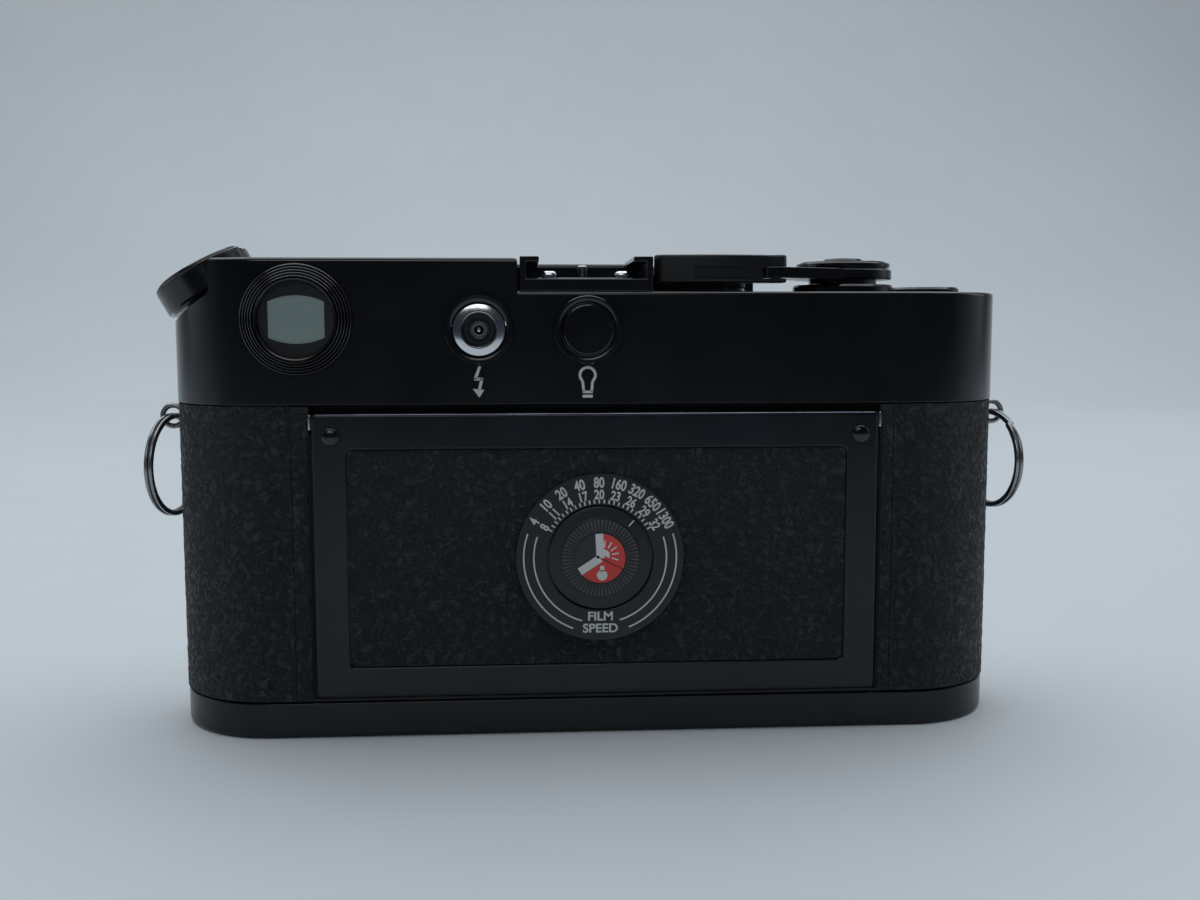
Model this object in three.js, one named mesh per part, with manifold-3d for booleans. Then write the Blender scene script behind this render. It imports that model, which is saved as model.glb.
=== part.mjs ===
// Rangefinder camera for 35 mm film: body, finder housing, controls, back flap, base plate and lens.
// +X is the rewind side, -Y the lens side, +Z up; the origin lies under the body's centre. Millimetres.
import * as THREE from 'three';
import { mergeVertices } from 'three/addons/utils/BufferGeometryUtils.js';
import Module from 'manifold-3d';

const wasm = await Module();
wasm.setup();

// Body
const bodyWidth = 138;
const bodyDepth = 33.5;
const endRadius = bodyDepth / 2;
const endCentre = bodyWidth / 2 - endRadius;
const coverThickness = 0.3;
const shellThickness = 1.42;
const coverBottom = 6.3;
const coverTop = 53.2;
const deckTop = 71.3;
const raisedTop = 76.5;
const raisedEnd = 60.4;
const raisedStart = 12.4;

// Optical axis and film gate
const lensZ = 29.5;
const gateWidth = 36;
const gateHeight = 24;
const filmPlane = 9.5;

// Back flap
const flapLeft = 44.75;
const flapRight = -45.35;
const flapTop = 52.3;
const flapBottom = 6.8;
const flapInner = 16.1;
const flapOuter = 17.6;
const flapAxis = { y: 15.7, z: 51 };
const filmDial = { x: -0.46, z: 29.1, r: 13.55 };

// Controls on the top plate
const advance = { x: -43, y: 2 };
const tipPivot = { x: -29.5, y: 11.6 };
const speedDial = { x: -18, y: -1.5, r: 8.7 };
const counter = { x: -58.2, y: -1.5, r: 6.05 };
const eyepiece = { x: 46.65, z: 66.9, r: 8.65 };
const syncX = { x: 18.46, z: 65.3 };
const syncBulb = { x: 1.39, z: 65.3 };
const knobTilt = 30;
const knobBase = { x: 62.75, z: 71 };
const knobRadius = 8.25;
const shoulderGap = 1.1;

// Chambers
const cassette = { x: 51, y: 0.5 };
const spool = { x: -52, y: 0.5 };
const sprocket = { x: -36.2, y: 3.5, r: 5.9 };

// Strap lugs and rings
const lug = { x: 70.45, z: 50.95, r: 2.2, hole: 1.3 };
const ring = { r: 8.2, wire: 1.1, width: 1.6, turn: 76 };

function arc(cx, cy, r, from, to, steps) {
  const points = [];
  for (let i = 0; i <= steps; i += 1) {
    const a = THREE.MathUtils.degToRad(from + ((to - from) * i) / steps);
    points.push(new THREE.Vector2(cx + r * Math.cos(a), cy + r * Math.sin(a)));
  }
  return points;
}

function circle(cx, cy, r, steps = 24) {
  return arc(cx, cy, r, 0, 360 - 360 / steps, steps - 1);
}

function stadium(r) {
  return [...arc(endCentre, 0, r, -90, 90, 14), ...arc(-endCentre, 0, r, 90, 270, 14)];
}

function rect(x0, x1, y0, y1, r = 0) {
  if (r === 0) {
    return [[x0, y0], [x1, y0], [x1, y1], [x0, y1]].map(([x, y]) => new THREE.Vector2(x, y));
  }
  return [
    ...arc(x1 - r, y0 + r, r, -90, 0, 3),
    ...arc(x1 - r, y1 - r, r, 0, 90, 3),
    ...arc(x0 + r, y1 - r, r, 90, 180, 3),
    ...arc(x0 + r, y0 + r, r, 180, 270, 3),
  ];
}

// Outline round two circles and their common tangents.
function pill(a, ra, b, rb) {
  const d = Math.hypot(b.x - a.x, b.y - a.y);
  const heading = THREE.MathUtils.radToDeg(Math.atan2(b.y - a.y, b.x - a.x));
  const lean = THREE.MathUtils.radToDeg(Math.acos((ra - rb) / d));
  return [
    ...arc(b.x, b.y, rb, heading - lean, heading + lean, 8),
    ...arc(a.x, a.y, ra, heading + lean, heading + 360 - lean, 14),
  ];
}

// Extrusion of an outline in XY from z0 to z1.
function slab(outline, z0, z1, holes = []) {
  const shape = new THREE.Shape(outline);
  for (const hole of holes) {
    shape.holes.push(new THREE.Path(hole));
  }
  const geometry = new THREE.ExtrudeGeometry(shape, { depth: z1 - z0, bevelEnabled: false });
  return geometry.translate(0, 0, z0);
}

// Extrusion of an outline in XZ from y0 to y1.
function wall(outline, y0, y1, holes = []) {
  return slab(outline, -y1, -y0, holes).rotateX(Math.PI / 2);
}

function block(x0, x1, y0, y1, z0, z1) {
  const geometry = new THREE.BoxGeometry(x1 - x0, y1 - y0, z1 - z0);
  return geometry.translate((x0 + x1) / 2, (y0 + y1) / 2, (z0 + z1) / 2);
}

// Turned piece about Z, from [radius, height] pairs.
function turned(profile, steps = 24) {
  return turnedY(profile, steps).rotateX(Math.PI / 2);
}

// Turned piece about Y.
function turnedY(profile, steps = 24) {
  return new THREE.LatheGeometry(profile.map(([r, y]) => new THREE.Vector2(r, y)), steps);
}

function tube(rOut, rIn, z0, z1) {
  return [[rIn, z0], [rOut, z0], [rOut, z1], [rIn, z1], [rIn, z0]];
}

function rod(r, z0, z1) {
  return [[0, z0], [r, z0], [r, z1], [0, z1]];
}

function rodX(r, x0, x1, y, z, steps = 12) {
  return new THREE.CylinderGeometry(r, r, x1 - x0, steps)
    .rotateZ(Math.PI / 2)
    .translate((x0 + x1) / 2, y, z);
}

// Welds a geometry, drops collapsed triangles and turns its faces outward.
function closed(geometry) {
  const plain = geometry.clone();
  plain.deleteAttribute('normal');
  plain.deleteAttribute('uv');
  const welded = mergeVertices(plain, 1e-4);
  const at = welded.getAttribute('position');
  const index = welded.index.array;
  const faces = [];
  let volume = 0;
  const [p, q, s] = [new THREE.Vector3(), new THREE.Vector3(), new THREE.Vector3()];
  for (let i = 0; i < index.length; i += 3) {
    const [a, b, c] = [index[i], index[i + 1], index[i + 2]];
    if (a !== b && b !== c && c !== a) {
      faces.push([a, b, c]);
      p.fromBufferAttribute(at, a);
      q.fromBufferAttribute(at, b);
      s.fromBufferAttribute(at, c);
      volume += p.dot(q.cross(s));
    }
  }
  const order = volume > 0 ? faces : faces.map(([a, b, c]) => [a, c, b]);
  welded.setIndex(order.flat());
  return welded;
}

function solid(geometry) {
  const welded = closed(geometry);
  return new wasm.Manifold(new wasm.Mesh({
    numProp: 3,
    vertProperties: new Float32Array(welded.getAttribute('position').array),
    triVerts: new Uint32Array(welded.index.array),
  }));
}

function surface(manifold) {
  const mesh = manifold.getMesh();
  const geometry = new THREE.BufferGeometry();
  geometry.setAttribute('position', new THREE.BufferAttribute(mesh.vertProperties, 3));
  geometry.setIndex(new THREE.BufferAttribute(mesh.triVerts, 1));
  return geometry;
}

function join(first, ...rest) {
  return surface(rest.reduce((sum, piece) => sum.add(solid(piece)), solid(first)));
}

function cut(first, ...rest) {
  return surface(rest.reduce((left, piece) => left.subtract(solid(piece)), solid(first)));
}

function common(first, second) {
  return surface(solid(first).intersect(solid(second)));
}

// Places a piece made about the lens axis.
function onAxis(geometry) {
  return geometry.translate(0, 0, lensZ);
}

// Turns a piece made in the knob's own frame, +Z along its shaft, into place.
function tilted(geometry) {
  return geometry.rotateY(THREE.MathUtils.degToRad(knobTilt)).translate(knobBase.x, 0, knobBase.z);
}

const finishes = {
  blackPaint: { color: 0x15161a, roughness: 0.3, metalness: 0.3 },
  blackCast: { color: 0x1b1b1d, roughness: 0.6, metalness: 0.4 },
  cover: { color: 0x1d1d1f, roughness: 0.75, metalness: 0 },
  chrome: { color: 0xc4c6ca, roughness: 0.2, metalness: 1 },
  steel: { color: 0x8f9194, roughness: 0.35, metalness: 0.9 },
  brass: { color: 0xa98a4c, roughness: 0.35, metalness: 0.9 },
  glass: { color: 0x93a39b, roughness: 0.05, metalness: 0 },
  frosted: { color: 0xb9bfc1, roughness: 0.4, metalness: 0 },
  plastic: { color: 0x18181a, roughness: 0.4, metalness: 0 },
  cloth: { color: 0x202022, roughness: 0.9, metalness: 0 },
  dial: { color: 0x101012, roughness: 0.45, metalness: 0.2 },
};

const camera = new THREE.Group();

function add(name, finish, geometry, parent = camera) {
  const welded = closed(geometry);
  const shaded = welded.toNonIndexed();
  shaded.computeVertexNormals();
  const mesh = new THREE.Mesh(shaded, new THREE.MeshStandardMaterial(finishes[finish]));
  mesh.name = name;
  parent.add(mesh);
  return mesh;
}

// Body shell: an open-ended sleeve with a lip that centres the top plate.
{
  const outer = endRadius - coverThickness - 0.03;
  const inner = outer - shellThickness;
  const lipOut = 13.9;
  const lipIn = 12.7;
  const sleeve = join(
    slab(stadium(outer), coverBottom - 0.25, 53.3, [stadium(inner)]),
    slab(stadium(inner + 0.2), 52.3, 53.3, [stadium(lipIn)]),
    slab(stadium(lipOut), 52.4, 57, [stadium(lipIn)]),
  );
  const lugPocket = (side) => block(side * 69 - 1.1, side * 69 + 1.1, -1.05, 1.05, lug.z - 2.6, lug.z + 2.6);
  const pinHole = (x0, x1) => rodX(0.58, x0, x1, flapAxis.y, flapAxis.z);
  add('body_shell', 'blackCast', cut(
    sleeve,
    block(flapRight - 0.5, flapLeft + 0.5, 14.2, 20, 49, 60),
    block(flapRight - 0.5, flapLeft + 0.5, 15.9, 20, 6.5, 50),
    block(flapRight + 1.45, flapLeft - 1.45, 14, 20, 9, 50),
    wall(circle(0, lensZ, 21.2, 32), -20, -10),
    wall(circle(24.2, 12.5, 3.45, 16), -20, -10),
    lugPocket(1),
    lugPocket(-1),
    pinHole(45, 49),
    pinHole(-49, -45),
  ));
}

// Covering wrapped round the front and both ends, up to the back flap.
{
  const outer = endRadius - 0.03;
  const lugHole = (side) => block(side * 69 - 3, side * 69 + 3, -1.2, 1.2, lug.z - 2.75, lug.z + 2.75);
  add('body_cover', 'cover', cut(
    slab(stadium(outer), coverBottom, coverTop, [stadium(outer - coverThickness + 0.03)]),
    block(flapRight - 0.6, flapLeft + 0.6, 0, 20, 0, 60),
    wall(circle(0, lensZ, 23.1, 32), -20, -10),
    wall(circle(24.2, 12.5, 3.5, 16), -20, -10),
    lugHole(1),
    lugHole(-1),
  ));
}

// Chassis: film gate with rails, light box walls, cassette wall and top deck.
add('chassis', 'blackCast', join(
  wall(
    rect(-30, 30, 7, 50.8),
    filmPlane - 1.9,
    filmPlane - 0.4,
    [rect(-gateWidth / 2, gateWidth / 2, lensZ - gateHeight / 2, lensZ + gateHeight / 2)],
  ),
  block(-29, 29, filmPlane - 0.5, filmPlane, lensZ + 13.5, lensZ + 15),
  block(-29, 29, filmPlane - 0.5, filmPlane, lensZ - 15, lensZ - 13.5),
  block(-30, -28.5, -13.5, filmPlane - 1, 7, 50.8),
  block(28.5, 30, -13.5, filmPlane - 1, 7, 50.8),
  slab([...arc(cassette.x, cassette.y, 14.2, 125, 235, 10), ...arc(cassette.x, cassette.y, 13.2, 235, 125, 10)], 7, 50.8),
  slab(stadium(14), 50.4, 52, [
    circle(cassette.x, cassette.y, 2.3, 16),
    circle(spool.x, spool.y, 2.4, 16),
    circle(sprocket.x, sprocket.y, 2, 16),
  ]),
));

// Cloth focal-plane curtain behind the lens.
add('shutter_curtain', 'cloth', block(-26, 26, 4.9, 5.2, lensZ - 16.5, lensZ + 16.5));

// Take-up spool with two flanges.
add('take_up_spool', 'steel', turned([
  [0, 8.5], [9, 8.5], [9, 9.7], [6, 10.2], [6, 44.3], [9, 44.8], [9, 46], [2, 46], [2, 51.8], [0, 51.8],
]).translate(spool.x, spool.y, 0));

// Sprocket roller: two rows of eight teeth.
{
  const core = turned([[0, 9], [4.6, 9], [4.6, 49.9], [1.6, 49.9], [1.6, 51.8], [0, 51.8]], 16);
  const teeth = [];
  for (const z of [lensZ - 14.1, lensZ + 14.1]) {
    for (let i = 0; i < 4; i += 1) {
      const bar = block(-sprocket.r, sprocket.r, -0.7, 0.7, z - 0.9, z + 0.9);
      teeth.push(bar.rotateZ((i * Math.PI) / 4));
    }
  }
  add('sprocket_roller', 'steel', join(core, ...teeth).translate(sprocket.x, sprocket.y, 0));
}

// Rewind fork: two prongs below the deck, a bevel gear above it.
add('rewind_fork', 'steel', join(
  turned([[0, 43.2], [3, 43.2], [3, 44.2], [1.8, 44.2], [1.8, 56.4], [3.4, 56.8], [3, 58], [0, 58]], 16),
  block(-2.6, 2.6, -0.6, 0.6, 40.6, 43.3),
).translate(cassette.x, cassette.y, 0));

// Top plate: low deck with a raised finder housing, a slanted shoulder and a recess for the rewind knob.
{
  const outer = slab(stadium(endRadius), 53.6, deckTop);
  const housing = slab([
    [raisedEnd, -18], [raisedEnd, 18], [raisedStart, 18], [raisedStart, -2], [-6.5, -2], [-9, -11],
    [-30, -11], [-30, -18],
  ].map(([x, y]) => new THREE.Vector2(x, y)), 70, raisedTop);
  const raised = cut(
    common(housing, slab(stadium(endRadius), 60, 90)),
    turned(rod(speedDial.r + 1.2, 60, 90)).translate(speedDial.x, speedDial.y, 0),
  );
  const frames = [
    wall(rect(38.9, 52.7, 64.9, 74.9, 0.8), -17.25, -16),
    wall(rect(13.8, 31.7, 65.1, 74.7, 0.8), -17.25, -16),
    wall(rect(-25.8, -18, 67.4, 74.1, 0.8), -17.25, -16),
  ];
  const shoulder = common(
    tilted(block(-20, 20, -30, 30, -shoulderGap, 30)),
    block(raisedEnd, 90, -30, 30, 50, 100),
  );
  add('top_plate', 'blackPaint', cut(
    join(outer, raised, ...frames),
    slab(stadium(15.45), 50, 62),
    common(slab(stadium(15.45), 61, 69.9), block(-80, 53.5, -20, 20, 60, 80)),
    block(13, 53.3, -15.2, 15.2, 69.8, 75.1),
    block(-28.5, 13.5, -15.2, -12.2, 69.8, 75.1),
    shoulder,
    tilted(turned(rod(knobRadius + 0.7, -shoulderGap, 30))),
    tilted(turned(rod(2.1, -30, 5), 16)),
    wall(rect(39.6, 52, 65.6, 74.2), -20, -14),
    wall(rect(14.5, 31, 65.8, 74), -20, -14),
    wall(rect(-25.1, -18.7, 68.1, 73.4), -20, -14),
    wall(circle(eyepiece.x, eyepiece.z, 7.5), 14, 20),
    wall(circle(syncX.x, syncX.z, 4.5, 16), 14, 20),
    wall(circle(syncBulb.x, syncBulb.z, 4.5, 16), 14, 20),
    slab(circle(advance.x, advance.y, 4.3), 66, 80),
    slab(circle(speedDial.x, speedDial.y, 2.4, 16), 66, 80),
    slab(circle(counter.x, counter.y, 4.7), 66, 80),
  ));
}

// Windows and finder optics.
add('viewfinder_window', 'glass', block(39.9, 51.7, -16.9, -15.9, 65.9, 73.9));
add('illumination_window', 'frosted', block(14.8, 30.7, -16.9, -15.9, 66.1, 73.7));
add('rangefinder_window', 'glass', block(-24.8, -19, -16.9, -15.9, 68.4, 73.1));
add('finder_prism', 'glass', block(41, 51.8, -12, 9, 62.5, 72.5));
add('eyepiece_ring', 'plastic', turnedY([
  [4.7, 14.2], [7.2, 14.2], [7.2, 16.8], [eyepiece.r, 16.8], [eyepiece.r, 17.9], [6.6, 18.5], [4.7, 18.1], [4.7, 14.2],
], 32).translate(eyepiece.x, 0, eyepiece.z));
add('eyepiece_lens', 'glass', turnedY(rod(4.4, 15.4, 16.6)).translate(eyepiece.x, 0, eyepiece.z));

// Flash sockets: rings, contacts and a push-in cap.
add('sync_ring_x', 'blackPaint', turnedY(tube(5.4, 4.35, 16.8, 18)).translate(syncX.x, 0, syncX.z));
add('sync_contact_x', 'chrome', turnedY([
  [0, 13.9], [4.1, 13.9], [4.1, 17.6], [2.35, 17.6], [2.35, 14.6], [1.45, 14.6], [1.45, 17.3], [0.6, 17.3],
  [0.6, 15.5], [0, 15.5],
]).translate(syncX.x, 0, syncX.z));
add('sync_socket_bulb', 'blackPaint', turnedY([
  [0, 13.9], [4.1, 13.9], [4.1, 16.8], [5.35, 16.8], [5.35, 18], [4.35, 18], [3.9, 16.3], [2.6, 16.3],
  [2.6, 14.6], [0, 14.6],
]).translate(syncBulb.x, 0, syncBulb.z));
add('sync_cap', 'plastic', turnedY([
  [0, 15], [2.2, 15], [2.2, 16.7], [3.6, 16.7], [4, 17.8], [4, 18.4], [0, 18.7],
]).translate(syncBulb.x, 0, syncBulb.z));

// Accessory shoe with its stop pin, and the leaf spring on its floor.
{
  const left = 12.05;
  const right = -9;
  const front = -1.4;
  const back = 16.2;
  add('accessory_shoe', 'blackPaint', join(
    block(right, left, front, back, deckTop + 0.05, 73.3),
    block(left - 1, left, front, back, 73, 76.75),
    block(right, right + 1, front, back, 73, 76.75),
    block(9, left, front, back, 76, 76.75),
    block(right, -5.95, front, back, 76, 76.75),
    turned(rod(0.9, 73, 76.2), 12).translate(1.4, -0.4, 0),
  ));
  add('shoe_spring', 'chrome', join(
    block(-6.5, 9.6, 5, 11.5, 73.35, 73.65),
    block(6.3, 8.4, 11, 13.4, 73.35, 74.3),
    block(-5.3, -3.2, 11, 13.4, 73.35, 74.3),
  ));
}

// Film advance: fixed collar, lever with hub and top disc, hinged tip, release button.
add('advance_collar', 'blackPaint', turned(tube(8.4, 4.6, deckTop + 0.05, 72.75)).translate(advance.x, advance.y, 0));
add('advance_lever', 'blackPaint', cut(
  join(
    turned(tube(4, 3.6, 67, 73), 24).translate(advance.x, advance.y, 0),
    slab(circle(advance.x, advance.y, 5.7), 72.95, 73.7),
    slab(circle(advance.x, advance.y, 8.15), 73.55, 75.3),
    slab(pill(advance, 6.5, tipPivot, 2.6), 73.55, 75.3),
    slab(circle(advance.x, advance.y, 7.85), 75.2, 76.65),
    slab(circle(tipPivot.x, tipPivot.y, 0.9, 12), 72.9, 77.1),
  ),
  slab(circle(advance.x, advance.y, 3.6), 60, 80),
));
add('lever_tip', 'plastic', cut(
  slab([
    ...arc(-28.9, 12, 2.2, 130, 270, 6), ...arc(-11.6, 11.6, 2, -90, 60, 6), ...arc(-20, -20, 34.2, 78, 104, 6),
  ], 72.8, 77.25),
  block(-33, -24, 5, 17, 73.25, 75.6),
  slab(circle(tipPivot.x, tipPivot.y, 1.15, 12), 70, 80),
));
add('release_button', 'blackPaint', turned([
  [0, 64.5], [1.5, 64.5], [1.5, 74.4], [3.3, 74.4], [3.3, 76.95], [3, 77.25], [1.6, 77.25], [1, 75.6], [0, 75.6],
]).translate(advance.x, advance.y, 0));

// Shutter speed dial.
add('speed_dial', 'blackPaint', turned([
  [0, 66], [2, 66], [2, 71.6], [speedDial.r, 71.6], [speedDial.r, 74.4], [7.7, 75.2], [0, 75.2],
]).translate(speedDial.x, speedDial.y, 0));

// Frame counter: bezel over a numbered disc.
add('counter_bezel', 'chrome', turned([
  [4.4, deckTop + 0.05], [counter.r, deckTop + 0.05], [counter.r, 72.1], [5.6, 72.5], [4.4, 72.3],
  [4.4, deckTop + 0.05],
]).translate(counter.x, counter.y, 0));
add('counter_disc', 'dial', turned([
  [0, 65], [0.8, 65], [0.8, 70.4], [4.2, 70.4], [4.2, 70.9], [0, 70.9],
]).translate(counter.x, counter.y, 0));

// Rewind knob on a shaft tilted outward, its fold-out crank, and the crank's peg.
{
  const shaft = new THREE.Group();
  shaft.position.set(knobBase.x, 0, knobBase.z);
  shaft.rotation.y = THREE.MathUtils.degToRad(knobTilt);
  camera.add(shaft);
  const pivot = { x: -5.8, z: 4.9 };
  const peg = { x: 4.6 };
  add('rewind_knob', 'blackPaint', cut(
    turned([
      [0, -15], [3.2, -15], [3.2, -13.5], [1.6, -13.2], [1.6, -0.8], [5, -0.8], [5, 0], [7.7, 0],
      [knobRadius, 0.5], [knobRadius, 4.9], [7.9, 5.3], [0, 5.3],
    ], 32),
    block(-10, 10, -2.5, 2.5, 4.2, 8),
    turned(rod(2.4, 2, 6), 16).translate(peg.x + 0.3, 0, 0),
  ), shaft);
  add('rewind_crank', 'chrome', cut(
    join(
      new THREE.CylinderGeometry(0.45, 0.45, 4.4, 12).translate(pivot.x, 0, pivot.z),
      block(pivot.x, 6.8, -2.2, 2.2, 4.5, 5.3),
    ),
    turned(rod(0.8, 4, 6), 12).translate(peg.x, 0, 0),
  ), shaft);
  add('crank_peg', 'plastic', turned([
    [0, 2.4], [1.5, 2.4], [1.5, 4.25], [0.5, 4.25], [0.5, 5.35], [0, 5.35],
  ], 12).translate(peg.x, 0, 0), shaft);
}

// Strap lugs, and the double-wound rings that hang in them.
for (const [suffix, side] of [['l', 1], ['r', -1]]) {
  add(`strap_lug_${suffix}`, 'chrome', wall(
    circle(side * lug.x, lug.z, lug.r, 20),
    -0.7,
    0.7,
    [circle(side * lug.x, lug.z, lug.hole, 16)],
  ));
  const half = ring.width / 2;
  const loop = turned(tube(ring.r + ring.wire / 2, ring.r - ring.wire / 2, -half, half), 32);
  loop.rotateX(Math.PI / 2);
  loop.rotateZ(THREE.MathUtils.degToRad(side * ring.turn));
  loop.translate(side * (lug.x + 0.1), 0, lug.z - 0.05 - ring.r);
  add(`strap_ring_${suffix}`, 'steel', loop);
}

// Back flap, hinged at its top edge on two pins, with its covering and rivets.
{
  const knuckle = (x0, x1) => join(
    rodX(1, x0, x1, flapAxis.y, flapAxis.z),
    block(x0, x1, flapAxis.y, flapInner + 0.1, flapAxis.z - 1, flapAxis.z + 0.9),
  );
  const hole = [circle(filmDial.x, filmDial.z, filmDial.r + 0.35, 32)];
  add('back_flap', 'blackPaint', cut(
    join(
      wall(rect(flapRight, flapLeft, flapBottom, flapTop, 0.6), flapInner, flapOuter),
      knuckle(41, flapLeft - 0.3),
      knuckle(flapRight + 0.3, -41.6),
    ),
    wall(rect(-40.2, 39.5, 11.7, 46.7, 1), 17, 20),
    rodX(0.66, -50, 50, flapAxis.y, flapAxis.z),
  ));
  add('flap_cover', 'cover', wall(rect(-40, 39.3, 11.9, 46.5, 0.9), 17.05, 17.5, hole));
  for (const [suffix, x] of [['l', 41.74], ['r', -42.35]]) {
    add(`flap_rivet_${suffix}`, 'steel', turnedY([
      [0, flapOuter + 0.03], [1.46, flapOuter + 0.03], [1.1, 18], [0, 18.15],
    ], 16).translate(x, 0, 48.65));
  }
  add('hinge_pin_l', 'steel', rodX(0.5, 42, 48, flapAxis.y, flapAxis.z));
  add('hinge_pin_r', 'steel', rodX(0.5, -48.6, -42.6, flapAxis.y, flapAxis.z));
}

// Film pressure plate and the bowed leaf spring behind it.
add('pressure_plate', 'blackCast', block(-29, 29, 9.85, 11.1, lensZ - 16.5, lensZ + 16.5));
add('pressure_spring', 'steel', slab([
  ...arc(0, 83.95, 72.4, -109.5, -70.5, 12), ...arc(0, 83.95, 72.05, -70.5, -109.5, 12),
], lensZ - 5, lensZ + 5));

// Film-speed reminder: printed plate and turning disc.
add('dial_plate', 'dial', turnedY(tube(filmDial.r, 8.55, 17.05, 17.95), 32).translate(filmDial.x, 0, filmDial.z));
add('film_speed_disc', 'dial', turnedY([
  [0, 17.05], [8.25, 17.05], [8.25, 18], [6.3, 18.2], [6, 18.5], [4.4, 18.5], [4.1, 18.2], [0, 18.2],
], 32).translate(filmDial.x, 0, filmDial.z));

// Base plate: a tray with a tripod bush at one end and the lock key at the other.
{
  const keyX = 50;
  const bushX = -50;
  add('base_plate', 'blackPaint', cut(
    join(
      cut(slab(stadium(16.5), 0, 5.8), slab(stadium(15.3), 1.4, 8)),
      slab(circle(keyX, 0, 9.6), 1.2, 3.9),
      slab(circle(bushX, 0, 7.6), 1.2, 5.2),
    ),
    slab(circle(keyX, 0, 8.4), -1, 2.5),
    slab(circle(keyX, 0, 2.4, 16), -1, 8),
    slab(circle(bushX, 0, 6.35), -1, 8),
  ));
  add('tripod_bush', 'brass', turned(tube(6, 3.1, 0.1, 5)).translate(bushX, 0, 0));
  add('base_key', 'chrome', join(
    turned([[0, 1.45], [8, 1.45], [8, 2.2], [2.1, 2.2], [2.1, 5.3], [0, 5.3]]),
    block(-6, 6, -2, 2, 4.3, 5.3),
    block(-0.8, 0.8, -4.8, 4.8, 0.3, 1.5),
  ).translate(keyX, 0, 0));
  const bail = slab([...arc(0, 0, 7.2, -90, 90, 12), ...arc(0, 0, 5.1, 90, -90, 12)], 0.25, 1.2);
  add('key_handle', 'chrome', bail.translate(keyX, 0, 0));
}

// Lens mount, and the lens: barrel, focus ring with finger tab, sliding head, aperture ring, glass and iris.
add('mount_flange', 'chrome', onAxis(turnedY([
  [19.3, -18.3], [22.8, -18.3], [22.8, -16.5], [20.9, -16.5], [20.9, -12], [19.3, -12], [19.3, -18.3],
], 36)));
add('lens_barrel', 'chrome', onAxis(turnedY([
  [15.4, -13.5], [18.9, -13.5], [18.9, -18.6], [22.4, -18.6], [22.4, -20.4], [17, -20.4], [17, -33], [15.4, -33],
  [15.4, -13.5],
], 36)));
{
  const tab = block(-3.5, 3.5, -26.2, -22, -27.5, -21).rotateY(THREE.MathUtils.degToRad(40));
  add('focus_ring', 'chrome', onAxis(join(turnedY(tube(22.9, 17.4, -27.6, -20.8), 36), tab)));
}
add('aperture_ring', 'chrome', onAxis(turnedY(tube(20.4, 17.4, -33.2, -28), 36)));
add('lens_head', 'chrome', onAxis(turnedY([
  [13, -17], [15, -17], [15, -33.6], [20.4, -33.6], [20.4, -43], [19.1, -43], [19.1, -39.5], [13.6, -36.8],
  [13, -36.8], [13, -17],
], 36)));
add('front_glass', 'glass', onAxis(turnedY([
  [0, -32], [12.6, -32], [12.6, -33.6], [9, -35.2], [4.6, -36], [0, -36.2],
], 24)));
add('iris_diaphragm', 'blackCast', onAxis(wall(circle(0, 0, 12.7, 24), -26.5, -26, [circle(0, 0, 6, 10)])));

// Levers and button on the front.
function frontLever(name, finish, at, bossRadius, armRadius, length, endSize, bossFront, armFront) {
  const end = new THREE.Vector2(at.x, at.y - length);
  add(name, finish, join(
    wall(circle(at.x, at.y, bossRadius, 20), bossFront, -16.95),
    wall(pill(at, armRadius, end, endSize), armFront, bossFront + 0.1),
  ));
}
frontLever('self_timer_lever', 'chrome', new THREE.Vector2(-34, 36), 4.2, 2.6, 15.5, 3, -18.8, -20.3);
frontLever('rewind_selector', 'chrome', new THREE.Vector2(-46.5, 46.5), 2.9, 1.7, 7, 1.4, -17.6, -18.5);
frontLever('frame_selector', 'chrome', new THREE.Vector2(29.5, 40.5), 3.2, 1.9, 14, 1.6, -17.6, -18.8);
add('lens_release_button', 'chrome', turnedY([
  [0, -19], [3.1, -19], [3.1, -17.1], [1.8, -17.1], [1.8, -13], [0, -13],
], 16).translate(24.2, 0, 12.5));

export default camera;
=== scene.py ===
"""A rangefinder camera seen from behind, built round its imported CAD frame."""

import math

import bpy
import bmesh
from mathutils import Matrix, Vector, noise


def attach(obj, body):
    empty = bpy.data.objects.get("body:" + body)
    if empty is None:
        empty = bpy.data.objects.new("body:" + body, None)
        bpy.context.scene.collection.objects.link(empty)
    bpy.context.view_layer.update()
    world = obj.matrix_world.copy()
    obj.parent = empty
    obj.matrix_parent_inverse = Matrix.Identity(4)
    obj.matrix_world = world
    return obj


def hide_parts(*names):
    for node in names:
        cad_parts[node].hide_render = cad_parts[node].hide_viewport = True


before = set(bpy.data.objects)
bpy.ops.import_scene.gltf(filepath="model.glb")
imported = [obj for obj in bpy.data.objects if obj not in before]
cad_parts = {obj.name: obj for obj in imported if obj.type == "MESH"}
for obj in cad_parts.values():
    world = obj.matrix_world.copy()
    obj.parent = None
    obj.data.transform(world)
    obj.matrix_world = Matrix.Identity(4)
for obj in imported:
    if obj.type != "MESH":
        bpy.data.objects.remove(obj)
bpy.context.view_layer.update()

# Sizes in millimetres, the same as the CAD's
END_R = 16.75
END_X = 52.25
DECK = 71.3
RAISED = 76.5
LENS_Z = 29.5
DIAL = (-0.46, 29.1)
EYE = (46.65, 66.9)
SYNC = (18.46, 65.3)
BULB = (1.39, 65.3)
HUB = (-43.0, 2.0)
TIP = (-29.5, 11.6)
SPEED = (-18.0, -1.5)
COUNTER = (-58.2, -1.5)
CATCH = (24.2, 12.5)
HINGE = (15.7, 51.0)
RIVET_Z = 48.65
PEG_X = 4.6


def shift(x, y, z):
    return Matrix.Translation((x, y, z))


def rotation(angle, axis):
    return Matrix.Rotation(math.radians(angle), 4, axis)


KNOB = shift(62.75, 0, 71.0) @ rotation(30, "Y")
BACK_FACE = 16.77
KEY_X = 50.0
BUSH_X = -50.0


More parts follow.
